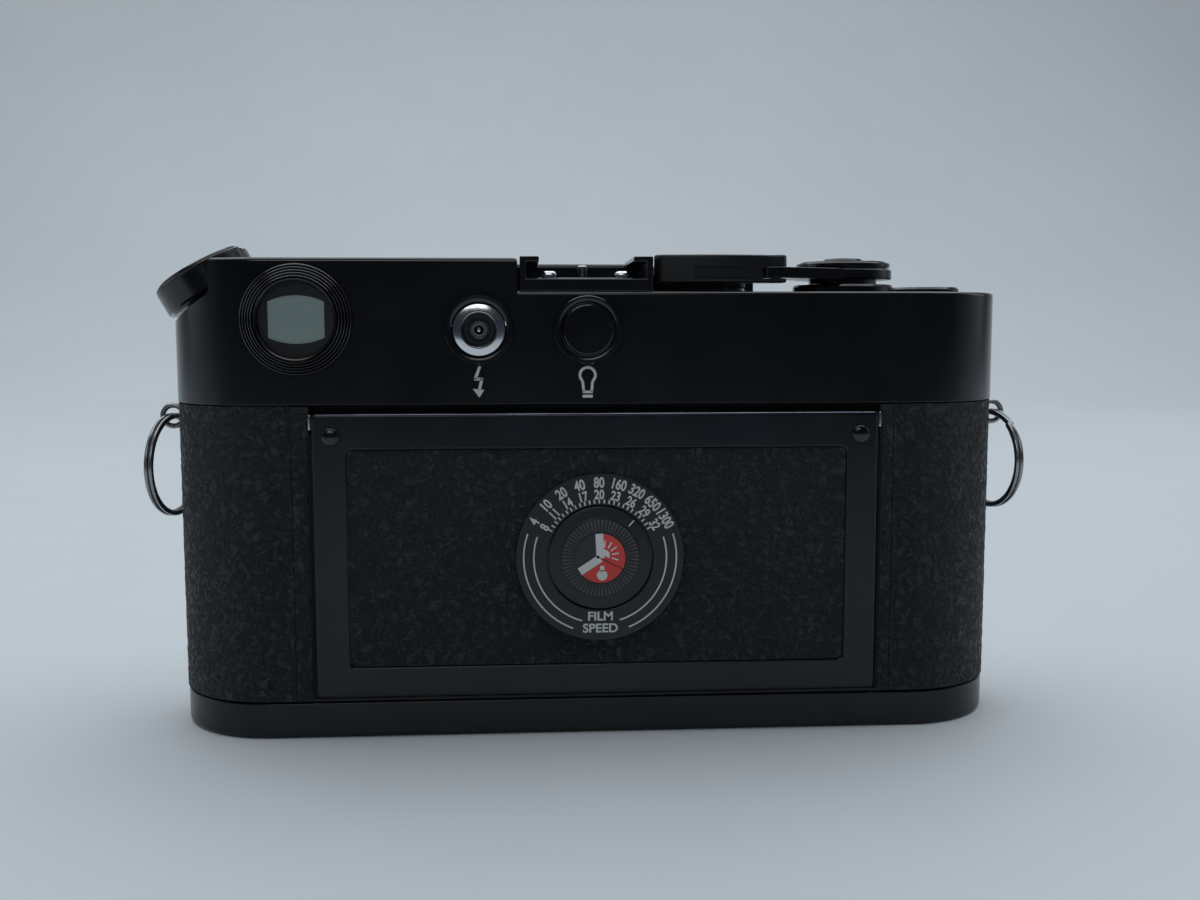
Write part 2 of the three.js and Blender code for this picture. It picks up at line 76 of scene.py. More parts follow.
# ---------------------------------------------------------------- geometry
def polar(r, angle, at=(0, 0)):
    """The point at radius r and angle degrees anticlockwise from +x."""
    a = math.radians(angle)
    return at[0] + r * math.cos(a), at[1] + r * math.sin(a)


def clock(r, angle):
    """The point at radius r and angle degrees clockwise from the top."""
    a = math.radians(angle)
    return r * math.sin(a), r * math.cos(a)


def arc(cx, cy, r, a0, a1, n):
    return [polar(r, a0 + (a1 - a0) * i / n, (cx, cy)) for i in range(n + 1)]


def circle(cx, cy, r, n=64):
    return arc(cx, cy, r, 0, 360 - 360 / n, n - 1)


def stadium(r, n=48):
    """The body's outline seen from above, with round ends of radius r."""
    return arc(END_X, 0, r, -90, 90, n) + arc(-END_X, 0, r, 90, 270, n)


def rect(x0, x1, y0, y1, r=0.01, n=6):
    r = max(r, 0.01)
    return (
        arc(x1 - r, y0 + r, r, -90, 0, n)
        + arc(x1 - r, y1 - r, r, 0, 90, n)
        + arc(x0 + r, y1 - r, r, 90, 180, n)
        + arc(x0 + r, y0 + r, r, 180, 270, n)
    )


def shrink(outline, d):
    """The outline moved inward by d along its mitred corners; it runs anticlockwise."""
    out = []
    n = len(outline)
    for i in range(n):
        p, q, s = (Vector(outline[(i + k) % n]) for k in (-1, 0, 1))
        a, b = (q - p), (s - q)
        if a.length < 1e-6 or b.length < 1e-6:
            out.append(tuple(q))
            continue
        a.normalize()
        b.normalize()
        na, nb = Vector((-a.y, a.x)), Vector((-b.y, b.x))
        m = na + nb
        m.normalize()
        out.append(tuple(q + m * (d / max(m.dot(na), 0.4))))
    return out


def pill(a, ra, b, rb, n=16):
    """The outline round two circles, of radius ra at a and rb at b."""
    d = math.hypot(b[0] - a[0], b[1] - a[1])
    h = math.degrees(math.atan2(b[1] - a[1], b[0] - a[0]))
    lean = math.degrees(math.acos((ra - rb) / d))
    return arc(b[0], b[1], rb, h - lean, h + lean, n) + arc(a[0], a[1], ra, h + lean, h + 360 - lean, 2 * n)


def turn(p, axis):
    x, y, z = p
    return {"Z": (x, y, z), "Y": (x, z, y), "X": (z, x, y)}[axis]


def loft(rings, loop=False):
    """A skin through rings of points, closed by a cap at each end or back to its start."""
    n = len(rings[0])
    verts = [p for ring in rings for p in ring]
    faces = []
    for i in range(len(rings) - (0 if loop else 1)):
        a, b = i * n, ((i + 1) % len(rings)) * n
        faces += [(a + j, a + (j + 1) % n, b + (j + 1) % n, b + j) for j in range(n)]
    if not loop:
        faces.append(tuple(range(n))[::-1])
        faces.append(tuple(range(len(verts) - n, len(verts))))
    return verts, faces


def stack(outline, levels, axis="Z"):
    """A prism of an outline through (height, inset) levels."""
    return loft([
        [turn((x, y, h), axis) for x, y in (shrink(outline, d) if d else outline)] for h, d in levels
    ])


def rounding(size, n):
    """(drop, inset) steps of a quarter round, from its foot to its top."""
    angles = [math.pi / 2 * i / n for i in range(n + 1)]
    return [(size * (1 - math.sin(a)), size * (1 - math.cos(a))) for a in angles]


def slab(outline, z0, z1, round_top=0.0, round_low=0.0, axis="Z", n=4):
    """A plate between two heights, its upper and lower edges rounded."""
    low = [(z0 + drop, inset) for drop, inset in rounding(round_low, n)[::-1]] if round_low else [(z0, 0)]
    high = [(z1 - drop, inset) for drop, inset in rounding(round_top, n)] if round_top else [(z1, 0)]
    return stack(outline, low + high, axis)


def spin(profile, n=64, axis="Z", at=(0, 0), loop=False):
    """A turned piece from (radius, height) pairs about an axis through at."""
    rings = []
    for r, h in profile:
        r = max(r, 0.01)
        angles = [math.tau * j / n for j in range(n)]
        rings.append([turn((at[0] + r * math.cos(a), at[1] + r * math.sin(a), h), axis) for a in angles])
    return loft(rings, loop=loop)


def tube(profile, n, at, axis="Y"):
    """A turned piece with a bore: its profile closes on itself."""
    return spin(profile, n, axis, at, loop=True)


def rod(r, h0, h1, n=64, axis="Z", at=(0, 0)):
    return spin([(0, h0), (r, h0), (r, h1), (0, h1)], n, axis, at)


def knurl(r0, r1, h0, h1, teeth, axis="Z", at=(0, 0), round_=0.25, per=6, depth=0.35):
    """A turned rim with fine straight teeth between h0 and h1; r0 is the inner face's radius."""
    rings = []
    n = teeth * per
    low = [(r0, h0, 0), (r1 - round_, h0, 0.3), (r1, h0 + round_, 1)]
    high = [(r1, h1 - round_, 1), (r1 - round_, h1, 0.3), (r0, h1, 0)]
    for r, h, cut in low + high:
        ring = []
        for j in range(n):
            wave = 0.5 - 0.5 * math.cos(math.tau * j / per)
            q = r - cut * depth * (1 - min(1, wave * 1.6))
            a = math.tau * j / n
            ring.append(turn((at[0] + q * math.cos(a), at[1] + q * math.sin(a), h), axis))
        rings.append(ring)
    return loft(rings)


def box(x0, x1, y0, y1, z0, z1, r=0.0):
    if r:
        return slab(rect(x0, x1, y0, y1, r), z0, z1, r, r)
    return slab([(x0, y0), (x1, y0), (x1, y1), (x0, y1)], z0, z1)


def moved(geometry, matrix):
    verts, faces = geometry
    return [tuple(matrix @ Vector(v)) for v in verts], faces


def cleaned(geometry):
    """A mesh of the geometry with doubled and loose points removed and its faces turned outward."""
    mesh = bpy.data.meshes.new("temporary")
    mesh.from_pydata([Vector(v) for v in geometry[0]], [], geometry[1])
    bm = bmesh.new()
    bm.from_mesh(mesh)
    bmesh.ops.remove_doubles(bm, verts=bm.verts, dist=1e-4)
    bmesh.ops.dissolve_degenerate(bm, edges=bm.edges, dist=1e-4)
    bmesh.ops.delete(bm, geom=[v for v in bm.verts if not v.link_faces], context="VERTS")
    bmesh.ops.recalc_face_normals(bm, faces=bm.faces)
    bm.to_mesh(mesh)
    bm.free()
    return mesh


def tidy(geometry):
    """The geometry with its doubled points merged and its faces turned outward."""
    mesh = cleaned(geometry)
    result = [tuple(v.co) for v in mesh.vertices], [tuple(p.vertices) for p in mesh.polygons]
    bpy.data.meshes.remove(mesh)
    return result


def temporary(geometry):
    mesh = cleaned(geometry)
    thing = bpy.data.objects.new("temporary", mesh)
    bpy.context.scene.collection.objects.link(thing)
    return thing


def taken(thing):
    """An object's evaluated geometry; the object is removed."""
    graph = bpy.context.evaluated_depsgraph_get()
    mesh = bpy.data.meshes.new_from_object(thing.evaluated_get(graph))
    mesh.transform(thing.matrix_world)
    result = [tuple(v.co) for v in mesh.vertices], [tuple(p.vertices) for p in mesh.polygons]
    old = thing.data
    bpy.data.objects.remove(thing)
    if isinstance(old, bpy.types.Mesh):
        bpy.data.meshes.remove(old)
    bpy.data.meshes.remove(mesh)
    return result


def carve(geometry, *cutters, how="DIFFERENCE"):
    """The geometry after each cutter has been taken away from it, or joined, or kept in common."""
    base = temporary(geometry)
    tools = []
    for cutter in cutters:
        tool = temporary(cutter)
        modifier = base.modifiers.new("cut", "BOOLEAN")
        modifier.operation = how
        modifier.solver = "EXACT"
        modifier.object = tool
        tools.append(tool)
    result = taken(base)
    for tool in tools:
        bpy.data.objects.remove(tool)
    return result


def fuse(geometry, *others):
    return carve(geometry, *others, how="UNION")


def bevelled(geometry, width, segments):
    """The geometry with its sharp edges rounded off."""
    thing = temporary(geometry)
    modifier = thing.modifiers.new("bevel", "BEVEL")
    modifier.width = width
    modifier.segments = segments
    modifier.limit_method = "ANGLE"
    modifier.angle_limit = math.radians(30)
    return taken(thing)


def prism(outline, a, b, axis="Z"):
    return stack(outline, [(a, 0), (b, 0)], axis)


def lettering(words, height, squeeze=1.0, thick=0.03, bold=0.012):
    curve = bpy.data.curves.new("lettering", "FONT")
    curve.body = words
    curve.align_x = "CENTER"
    curve.align_y = "CENTER"
    curve.size = height / 0.7
    curve.resolution_u = 4
    curve.offset = bold * height
    curve.extrude = thick / 2
    thing = bpy.data.objects.new("lettering", curve)
    bpy.context.scene.collection.objects.link(thing)
    verts, faces = taken(thing)
    return [(x * squeeze, y, z) for x, y, z in verts], faces


def on_back(geometry, x, z, y, angle=0.0):
    """Art drawn flat, put on a face that looks to +Y; angle turns it clockwise, in degrees."""
    basis = Matrix(((-1, 0, 0, x), (0, 0, 1, y), (0, 1, 0, z), (0, 0, 0, 1)))
    return moved(geometry, basis @ rotation(-angle, "Z"))


def flat(outline, thick=0.04):
    return slab(outline, -thick / 2, thick / 2)


def bar(a, b, width, thick=0.04):
    """A thin printed line from a to b."""
    d = Vector(b) - Vector(a)
    s = Vector((-d.y, d.x)).normalized() * width / 2
    a, b = Vector(a), Vector(b)
    return flat([tuple(a - s), tuple(b - s), tuple(b + s), tuple(a + s)], thick)


def ray(r0, r1, angle, width, thick=0.04):
    """A printed line that runs outward between two radii."""
    return bar(clock(r0, angle), clock(r1, angle), width, thick)


def band(r, width, a0, a1, n=48, thick=0.04):
    """A printed arc; angles run clockwise from the top."""
    outer = arc(0, 0, r + width / 2, 90 - a0, 90 - a1, n)
    inner = arc(0, 0, r - width / 2, 90 - a1, 90 - a0, n)
    return flat((outer + inner)[::-1], thick)


def make(name, parts, body, replaces=(), smooth=32):
    """One object from (geometry, material) parts in millimetres, smooth up to an angle in degrees."""
    verts, faces, owners, materials = [], [], [], []
    for geometry, material in parts:
        v, f = tidy(geometry)
        if material not in materials:
            materials.append(material)
        start = len(verts)
        verts += v
        faces += [tuple(i + start for i in face) for face in f]
        owners += [materials.index(material)] * len(f)
    mesh = bpy.data.meshes.new(name)
    mesh.from_pydata([Vector(v) * 0.001 for v in verts], [], faces)
    for material in materials:
        mesh.materials.append(material)
    mesh.polygons.foreach_set("material_index", owners)
    mesh.shade_smooth()
    mesh.set_sharp_from_angle(angle=math.radians(smooth))
    thing = bpy.data.objects.new(name, mesh)
    bpy.context.scene.collection.objects.link(thing)
    weighted = thing.modifiers.new("even_shading", "WEIGHTED_NORMAL")
    weighted.keep_sharp = True
    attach(thing, body)
    if replaces:
        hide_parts(*replaces)
    return thing


# --------------------------------------------------------------- materials
def colour_sockets(sockets):
    return [s for s in sockets if s.type == "RGBA"]


class Nodes:
    """A material and short ways to add its nodes."""

    def __init__(self, name):
        self.material = bpy.data.materials.new(name)
        self.material.use_nodes = True
        self.tree = self.material.node_tree
        self.shader = self.tree.nodes["Principled BSDF"]
        self.place = self.new("ShaderNodeTexCoord").outputs["Object"]

    def new(self, kind, **values):
        node = self.tree.nodes.new(kind)
        for key, value in values.items():
            if hasattr(node, key):
                setattr(node, key, value)
            else:
                node.inputs[key.replace("_", " ")].default_value = value
        return node

    def link(self, a, b):
        self.tree.links.new(a, b)

    def noise(self, scale, detail=3.0, rough=0.5, stretch=None):
        node = self.new("ShaderNodeTexNoise", Scale=scale, Detail=detail, Roughness=rough)
        source = self.place
        if stretch:
            mapping = self.new("ShaderNodeMapping")
            mapping.inputs["Scale"].default_value = stretch
            self.link(source, mapping.inputs["Vector"])
            source = mapping.outputs["Vector"]
        self.link(source, node.inputs["Vector"])
        return node.outputs["Fac"]

    def ranged(self, value, a, b, low=0.3, high=0.7):
        node = self.new("ShaderNodeMapRange")
        for i, v in enumerate((low, high, a, b)):
            node.inputs[i + 1].default_value = v
        self.link(value, node.inputs[0])
        return node.outputs[0]

    def math(self, how, a, b):
        node = self.new("ShaderNodeMath", operation=how)
        for i, v in enumerate((a, b)):
            if isinstance(v, (int, float)):
                node.inputs[i].default_value = v
            else:
                self.link(v, node.inputs[i])
        return node.outputs[0]

    def tint(self, value, a, b):
        node = self.new("ShaderNodeMix", data_type="RGBA")
        for socket, colour in zip(colour_sockets(node.inputs), (a, b)):
            socket.default_value = (*colour, 1)
        self.link(value, node.inputs["Factor"])
        return colour_sockets(node.outputs)[0]

    def bump(self, height, distance):
        node = self.new("ShaderNodeBump", Distance=distance, Strength=1.0)
        self.link(height, node.inputs["Height"])
        return node.outputs["Normal"]

    def sets(self, **values):
        for key, value in values.items():
            self.shader.inputs[key.replace("_", " ")].default_value = value


def finish(name, dark, light, rough, metal, grain, depth, scratch, coat=0.0, spread=0.1, specular=0.5):
    """Paint, metal or plastic with blotches, hairline scratches and a fine grain."""
    m = Nodes(name)
    blotch = m.noise(90, 4, 0.55)
    fine = m.noise(grain, 3, 0.6)
    hair = m.math("GREATER_THAN", m.noise(70, 2, 0.5, (1, 1, 40)), 0.66)
    hair2 = m.math("GREATER_THAN", m.noise(60, 2, 0.5, (35, 1, 1.5)), 0.67)
    lines = m.math("MAXIMUM", hair, hair2)
    lines = m.math("MULTIPLY", lines, m.ranged(m.noise(30, 1), 0, scratch, 0.45, 0.7))
    mixed = m.math("ADD", m.ranged(blotch, 0, 0.7), lines)
    m.link(m.tint(mixed, dark, light), m.shader.inputs["Base Color"])
    base = m.ranged(m.noise(55, 5, 0.6), rough - spread / 2, rough + spread / 2)
    m.link(m.math("ADD", base, m.math("MULTIPLY", lines, 0.12)), m.shader.inputs["Roughness"])
    m.link(m.bump(m.math("ADD", fine, m.math("MULTIPLY", lines, -0.3)), depth), m.shader.inputs["Normal"])
    m.sets(Metallic=metal, Coat_Weight=coat, Coat_Roughness=0.06, Specular_IOR_Level=specular)
    return m.material


def covering(name, dark, light, rough):
    """Moulded vulcanite: small pebbles with fine wrinkles between them; its colour has painted shade in the
    grooves and creases, lighter crests and painted glint specks.
    """
    m = Nodes(name)
    warp = m.new("ShaderNodeTexNoise", Scale=420, Detail=3.0)
    m.link(m.place, warp.inputs["Vector"])
    shift = m.new("ShaderNodeMix", data_type="RGBA")
    shift.inputs["Factor"].default_value = 0.0012
    sockets = colour_sockets(shift.inputs)
    m.link(m.place, sockets[0])
    m.link(warp.outputs["Color"], sockets[1])
    cells = m.new("ShaderNodeTexVoronoi", feature="DISTANCE_TO_EDGE", Scale=950)
    m.link(colour_sockets(shift.outputs)[0], cells.inputs["Vector"])
    groove = m.ranged(cells.outputs["Distance"], 0, 1, 0.0, 0.28)
    wrinkle = m.noise(1500, 5, 0.65)
    crease = m.new("ShaderNodeTexNoise", Scale=620, Detail=5.0, Roughness=0.62, Distortion=0.5)
    m.link(m.place, crease.inputs["Vector"])
    fold = m.math("ABSOLUTE", m.math("SUBTRACT", crease.outputs["Fac"], 0.5), 0)
    height = m.math("ADD", m.math("MULTIPLY", groove, 0.16), m.math("MULTIPLY", wrinkle, 0.5))
    height = m.math("ADD", height, m.math("MULTIPLY", m.ranged(fold, 0, 1, 0.0, 0.1), 0.75))
    # painted shade: the colour darkens where the surface is low, in grooves and creases, and lightens on
    # the crests
    shade_and_glint_tone = m.math("MULTIPLY", m.ranged(height, 0, 1, 0.35, 1.05), m.ranged(m.noise(180, 4), 0.7, 1.0))
    # painted highlight: sparse bright glint specks added to the colour
    painted_glint = m.ranged(m.noise(1250, 3, 0.6, (1, 1, 2.2)), 0, 0.75, 0.61, 0.70)
    shade_and_glint_tone = m.math("ADD", m.math("MULTIPLY", shade_and_glint_tone, 0.25), painted_glint)
    m.link(m.tint(shade_and_glint_tone, dark, tuple(4 * c for c in light)), m.shader.inputs["Base Color"])
    m.link(m.ranged(height, rough + 0.12, rough - 0.2, 0.5, 1.15), m.shader.inputs["Roughness"])
    m.link(m.bump(height, 0.0007), m.shader.inputs["Normal"])
    m.sets(Specular_IOR_Level=0.42, Coat_Weight=0.0)
    return m.material


def glass(name, tint_, rough=0.04, alpha=0.35, glow=0.0):
    """A coated glass face with faint smears; a glow makes it give off its tint, a painted light."""
    m = Nodes(name)
    smear = m.noise(160, 4, 0.6, (1, 1, 3))
    m.link(
        m.tint(m.ranged(smear, 0, 1), tint_, tuple(c * 1.25 for c in tint_)), m.shader.inputs["Base Color"],
    )
    m.link(m.ranged(smear, rough, rough + 0.08), m.shader.inputs["Roughness"])
    m.link(m.bump(m.noise(300, 2), 0.000004), m.shader.inputs["Normal"])
    m.sets(Coat_Weight=0.6, Coat_Roughness=0.03, Alpha=alpha)
    # painted light: the glass emits its own tint
    if glow:
        m.sets(Emission_Color=(*tint_, 1), Emission_Strength=glow)
    return m.material


PAINT = finish(
    "black_paint", (0.0028, 0.0029, 0.0040), (0.0070, 0.0074, 0.0098),
    0.20, 0.0, 700, 0.000006, 0.35, coat=0.2, spread=0.07,
)
PAINT_FLAP = finish(
    "blue_black_paint", (0.0035, 0.0045, 0.0080), (0.0080, 0.0100, 0.0160),
    0.26, 0.05, 800, 0.00001, 0.35, specular=0.4,
)
PAINT_BASE = finish(
    "black_enamel", (0.0040, 0.0050, 0.0070), (0.0090, 0.0105, 0.0140),
    0.26, 0.05, 700, 0.00001, 0.4, specular=0.4,
)
MATT = finish(
    "matt_black", (0.008, 0.008, 0.009), (0.02, 0.02, 0.022),
    0.62, 0.2, 1500, 0.00003, 0.2, spread=0.12,
)
CHROME = finish(
    "bright_chrome", (0.62, 0.64, 0.67), (0.82, 0.83, 0.85),
    0.16, 1.0, 1200, 0.000006, 0.5,
)
SATIN = finish(
    "satin_chrome", (0.46, 0.47, 0.49), (0.66, 0.67, 0.69),
    0.32, 1.0, 2600, 0.00002, 0.4,
)
STEEL = finish(
    "dark_steel", (0.22, 0.23, 0.24), (0.42, 0.43, 0.44),
    0.25, 1.0, 1400, 0.00001, 0.6, spread=0.12,
)
BRASS = finish(
    "brass", (0.42, 0.31, 0.13), (0.66, 0.52, 0.26),
    0.3, 1.0, 1200, 0.00001, 0.5, spread=0.12,
)
PLASTIC = finish(
    "black_plastic", (0.006, 0.006, 0.007), (0.015, 0.015, 0.017),
    0.34, 0.0, 1800, 0.00002, 0.3,
)
CLOTH = finish(
    "curtain_cloth", (0.008, 0.008, 0.008), (0.02, 0.02, 0.021),
    0.85, 0.0, 3500, 0.00006, 0.0,
)
DIAL_BLACK = finish(
    "dial_black", (0.005, 0.005, 0.006), (0.013, 0.013, 0.014),
    0.38, 0.0, 1600, 0.00001, 0.25,
)
WHITE = finish(
    "white_fill", (0.62, 0.62, 0.60), (0.75, 0.75, 0.73),
    0.5, 0.0, 1500, 0.00001, 0.0,
)
GREY_FILL = finish(
    "grey_fill", (0.56, 0.57, 0.57), (0.68, 0.69, 0.69),
    0.5, 0.0, 1500, 0.00001, 0.0,
)
TICK = finish(
    "tick_grey", (0.07, 0.074, 0.078), (0.12, 0.125, 0.13),
    0.35, 0.0, 1500, 0.00001, 0.1,
)
# Bluish bright metal for the flap's top edge: partly worn paint, partly a painted highlight line.
WORN_AND_HIGHLIGHT = finish(
    "worn_edge_and_highlight", (0.26, 0.27, 0.38), (0.60, 0.62, 0.76),
    0.34, 1.0, 900, 0.00001, 0.5,
)
INK = finish(
    "engraved_black", (0.006, 0.006, 0.007), (0.014, 0.014, 0.015),
    0.5, 0.0, 1500, 0.00001, 0.0,
)
RED = finish(
    "red_fill", (0.60, 0.035, 0.03), (0.78, 0.07, 0.055),
    0.4, 0.0, 1200, 0.00001, 0.0,
)
BLUE_GREY = finish(
    "slate_fill", (0.012, 0.018, 0.024), (0.02, 0.028, 0.036),
    0.4, 0.0, 1200, 0.00001, 0.0,
)
COVER = covering("vulcanite", (0.0034, 0.0050, 0.0070), (0.0094, 0.0134, 0.0172), 0.52)
# The eyepiece pane glows: painted light standing in for light that comes through the finder.
GLOWING_EYE_GLASS = glass("eyepiece_glass_glowing", (0.075, 0.10, 0.10), 0.05, 1.0, 0.75)
CLEAR = glass("window_glass", (0.10, 0.14, 0.15), 0.03, 0.55)
FROST = glass("frosted_glass", (0.42, 0.46, 0.47), 0.35, 1.0)
LENS = glass("coated_lens", (0.035, 0.028, 0.075), 0.02, 0.6)


# ------------------------------------------------------------- body and covering
def pebbles(x, y, z):
    """Height of the covering's surface, 0 to 1, at a place in millimetres."""
    p = Vector((x, y, z))
    shifts = ((0, 0, 0), (9, 0, 0), (0, 9, 0))
    q = p * 0.95 + Vector([noise.noise(p * 0.9 + Vector(shift)) for shift in shifts]) * 0.55
    near = noise.voronoi(q)[0]
    ridge = min(1.0, (near[1] - near[0]) * 2.4)
    fold = min(1.0, abs(noise.noise(Vector((p.x * 0.8, p.y * 0.8, p.z * 1.3)) + q * 0.4)) * 3.2)
    return 0.4 * ridge + 0.4 * fold + 0.2 * (0.5 + 0.5 * noise.noise(p * 1.9))


EDGE_DROP = 0.06


def skin(name, columns, rows, at, body, replaces=(), keep=None, depth=0.2, thick=0.3):
    """A closed, wrinkled covering on a grid: at(u, v) gives a place and its outward direction."""
    verts, index, inner = [], {}, {}
    for j in range(rows + 1):
        for i in range(columns + 1):
            p, out = at(i / columns, j / rows)
            edge = i in (0, columns) or j in (0, rows)
            lift = -EDGE_DROP if edge else depth * (pebbles(*p) - 1)
            index[i, j] = len(verts)
            verts.append(tuple(p + out * lift))
    cells = [
        (i, j) for j in range(rows) for i in range(columns)
        if keep is None or keep(at((i + 0.5) / columns, (j + 0.5) / rows)[0])
    ]
    faces = [(index[i, j], index[i + 1, j], index[i + 1, j + 1], index[i, j + 1]) for i, j in cells]
    where = {v: place for place, v in index.items()}

    def under(v):
        """The point on the covering's flat back that lies below a point on its face."""
        if v not in inner:
            i, j = where[v]
            p, out = at(i / columns, j / rows)
            inner[v] = len(verts)
            verts.append(tuple(p - out * thick))
        return inner[v]

    # a wall goes down from every edge that only one cell uses
    edges = [pair for face in faces for pair in zip(face, face[1:] + face[:1])]
    known = set(edges)
    faces += [(b, a, under(a), under(b)) for a, b in edges if (b, a) not in known]

    # one long face closes each unbroken run of cells in a column
    lines = {}
    for v in inner:
        i, j = where[v]
        lines.setdefault(i, []).append(j)
    kept = set(cells)
    for i in range(columns):
        j = 0
        while j < rows:
            if (i, j) not in kept:
                j += 1
                continue
            start = j
            while (i, j) in kept:
                j += 1
            up = [inner[index[i + 1, k]] for k in sorted(lines[i + 1]) if start <= k <= j]
            down = [inner[index[i, k]] for k in sorted(lines[i], reverse=True) if start <= k <= j]
            faces.append(tuple(up + down)[::-1])
    return make(name, [((verts, faces), COVER)], body, replaces, 60)


SEAM = 48.1
COVER_R = END_R - 0.03
STRAIGHT = END_X - SEAM
HALF = math.pi * COVER_R
PATH = 2 * STRAIGHT + 2 * HALF + 2 * END_X
COVER_LOW, COVER_HIGH = 6.15, 53.4


def wrap(u, v):
    """Place on the covering that runs from the back seam at +X round the front to the seam at -X."""
    s = u * PATH
    z = COVER_LOW + (COVER_HIGH - COVER_LOW) * v

    def round_end(side, a):
        out = Vector((math.cos(a), math.sin(a), 0))
        return Vector((side * END_X, 0, z)) + out * COVER_R, out

    if s < STRAIGHT:
        return Vector((SEAM + s, COVER_R, z)), Vector((0, 1, 0))
    s -= STRAIGHT
    if s < HALF:
        return round_end(1, math.pi / 2 - s / COVER_R)
    s -= HALF
    if s < 2 * END_X:
        return Vector((END_X - s, -COVER_R, z)), Vector((0, -1, 0))
    s -= 2 * END_X
    if s < HALF:
        return round_end(-1, -math.pi / 2 - s / COVER_R)
    s -= HALF
    return Vector((-END_X + s, COVER_R, z)), Vector((0, 1, 0))


def clear_of_fittings(p):
    if p.y < -10 and math.hypot(p.x, p.z - LENS_Z) < 22.2:
        return False
    if p.y < -10 and math.hypot(p.x - CATCH[0], p.z - CATCH[1]) < 3.45:
        return False
    return not (abs(p.x) > 66 and abs(p.y) < 1.15 and p.z > 48.3)


skin("body_covering", 420, 90, wrap, "camera", ["body_cover"], clear_of_fittings)


def edge_strip(name, inner, outer):
    """The smooth strip between the covering's seam and the flap, with a rounded upper corner."""
    side = 1 if outer > inner else -1
    outline = [(inner, 6.3), (outer, 6.3)] + arc(
        outer - side * 1.5, 50.7, 1.5, 0 if side > 0 else 180, 90, 8,
    ) + [(inner, 52.2)]
    make(name, [(bevelled(prism(outline, 16.42, 16.69, "Y"), 0.1, 2), COVER)], "camera")


edge_strip("covering_strip_l", 45.45, 47.95)
edge_strip("covering_strip_r", -46.05, -47.95)


# -------------------------------------------------------------------- top plate
def housing_outline():
    points = [(60.4, -20), (60.4, 20), (12.4, 20), (12.4, -2)]
    dial = [p for p in arc(SPEED[0], SPEED[1], 9.9, 0, -112, 36) if p[1] < -2.0]
    return (points + [(-6.2, -2.0)] + dial + [(-30.0, dial[-1][1]), (-30.0, -20)])


def top_plate():
    deck = slab(stadium(END_R), 53.6, DECK, 0.55, 0.12, n=5)
    housing = carve(
        slab(housing_outline(), 62, RAISED, 0.65, n=5), slab(stadium(END_R), 60, RAISED, 0.65, n=5),
        how="INTERSECT",
    )
    body = fuse(deck, housing)
    for x0, x1, z0, z1 in ((38.9, 52.7, 64.9, 74.9), (13.8, 31.7, 65.1, 74.7), (-25.8, -18.0, 67.4, 74.1)):
        body = fuse(body, slab(rect(x0, x1, z0, z1, 0.9), -17.25, -16, 0, 0.35, "Y"))
    shoulder = box(-40, 40, -30, 30, -1.1, 30)
    keep = box(60.4, 100, -40, 40, 40, 110)
    half = carve(moved(shoulder, KNOB), keep, how="INTERSECT")
    recess = moved(rod(8.95, -1.1, 30, 96), KNOB)
    body = carve(body, half, recess)
    return carve(
        body,
        slab(stadium(15.45), 50, 62),
        slab(rect(-64, 53.5, -13.5, 13.5, 6), 60, 69.9),
        slab(rect(13, 53.3, -15.2, 15.2, 0.5), 66, 75.1),
        slab(rect(-28.5, 20, -15.2, -12.2, 0.3), 66, 75.0),
        moved(rod(2.1, -30, 5, 32), KNOB),
        slab(rect(39.6, 52, 65.6, 74.2, 0.6), -20, -14, axis="Y"),
        slab(rect(14.5, 31, 65.8, 74, 0.6), -20, -14, axis="Y"),
        slab(rect(-25.1, -18.7, 68.1, 73.4, 0.5), -20, -14, axis="Y"),
        slab(circle(*EYE, 7.5), 12, 20, axis="Y"),
        slab(circle(*SYNC, 4.5), 12, 20, axis="Y"),
        slab(circle(*BULB, 4.5), 12, 20, axis="Y"),
        slab(circle(*HUB, 4.3), 66, 80),
        slab(circle(*SPEED, 2.4), 66, 80),
        slab(circle(*COUNTER, 4.7), 66, 80),
    )


make("top_cover", [(top_plate(), PAINT)], "camera", ["top_plate"], 28)


# --------------------------------------------------------------- back of the top
def eyepiece():
    profile = [(5.8, 14.2), (7.2, 14.2), (7.2, 16.8), (8.5, 16.8), (8.65, 16.95), (8.65, 17.25)]
    for i in range(5):
        r, h = 8.6 - 0.44 * i, 17.35 + 0.18 * i
        profile += [(r, h), (r - 0.06, h + 0.13), (r - 0.16, h + 0.19), (r - 0.26, h + 0.13), (r - 0.33, h)]
    profile += [(6.4, 18.2), (6.28, 18.4), (6.1, 18.35), (5.95, 18.0), (5.8, 17.2)]
    ring = spin(profile, 96, "Y", EYE, loop=True)
    curve = arc(0, -6.6, 10.35, 65.1, 114.9, 16)
    window = curve + [(-x, -y) for x, y in curve]
    mask = carve(prism(circle(*EYE, 5.9, 72), 16.6, 17.05, "Y"), on_back(prism(window, -3, 3), *EYE, 16.7))
    make(
        "eyepiece_mount", [(ring, PAINT), (mask, DIAL_BLACK)], "camera", ["eyepiece_ring"],
        40,
    )
    pane = on_back(prism(shrink(window, -0.3), -0.25, 0.25), *EYE, 16.3)
    # The pane's glow is painted light.
    make("eyepiece_pane", [(pane, GLOWING_EYE_GLASS)], "camera", ["eyepiece_lens"])


eyepiece()


def socket_ring(at):
    profile = [
        (4.35, 16.8), (5.3, 16.8), (5.42, 16.95), (5.42, 17.7), (5.2, 17.98), (4.6, 18.02), (4.35, 17.85),
    ]
    return tube(profile, 72, at)


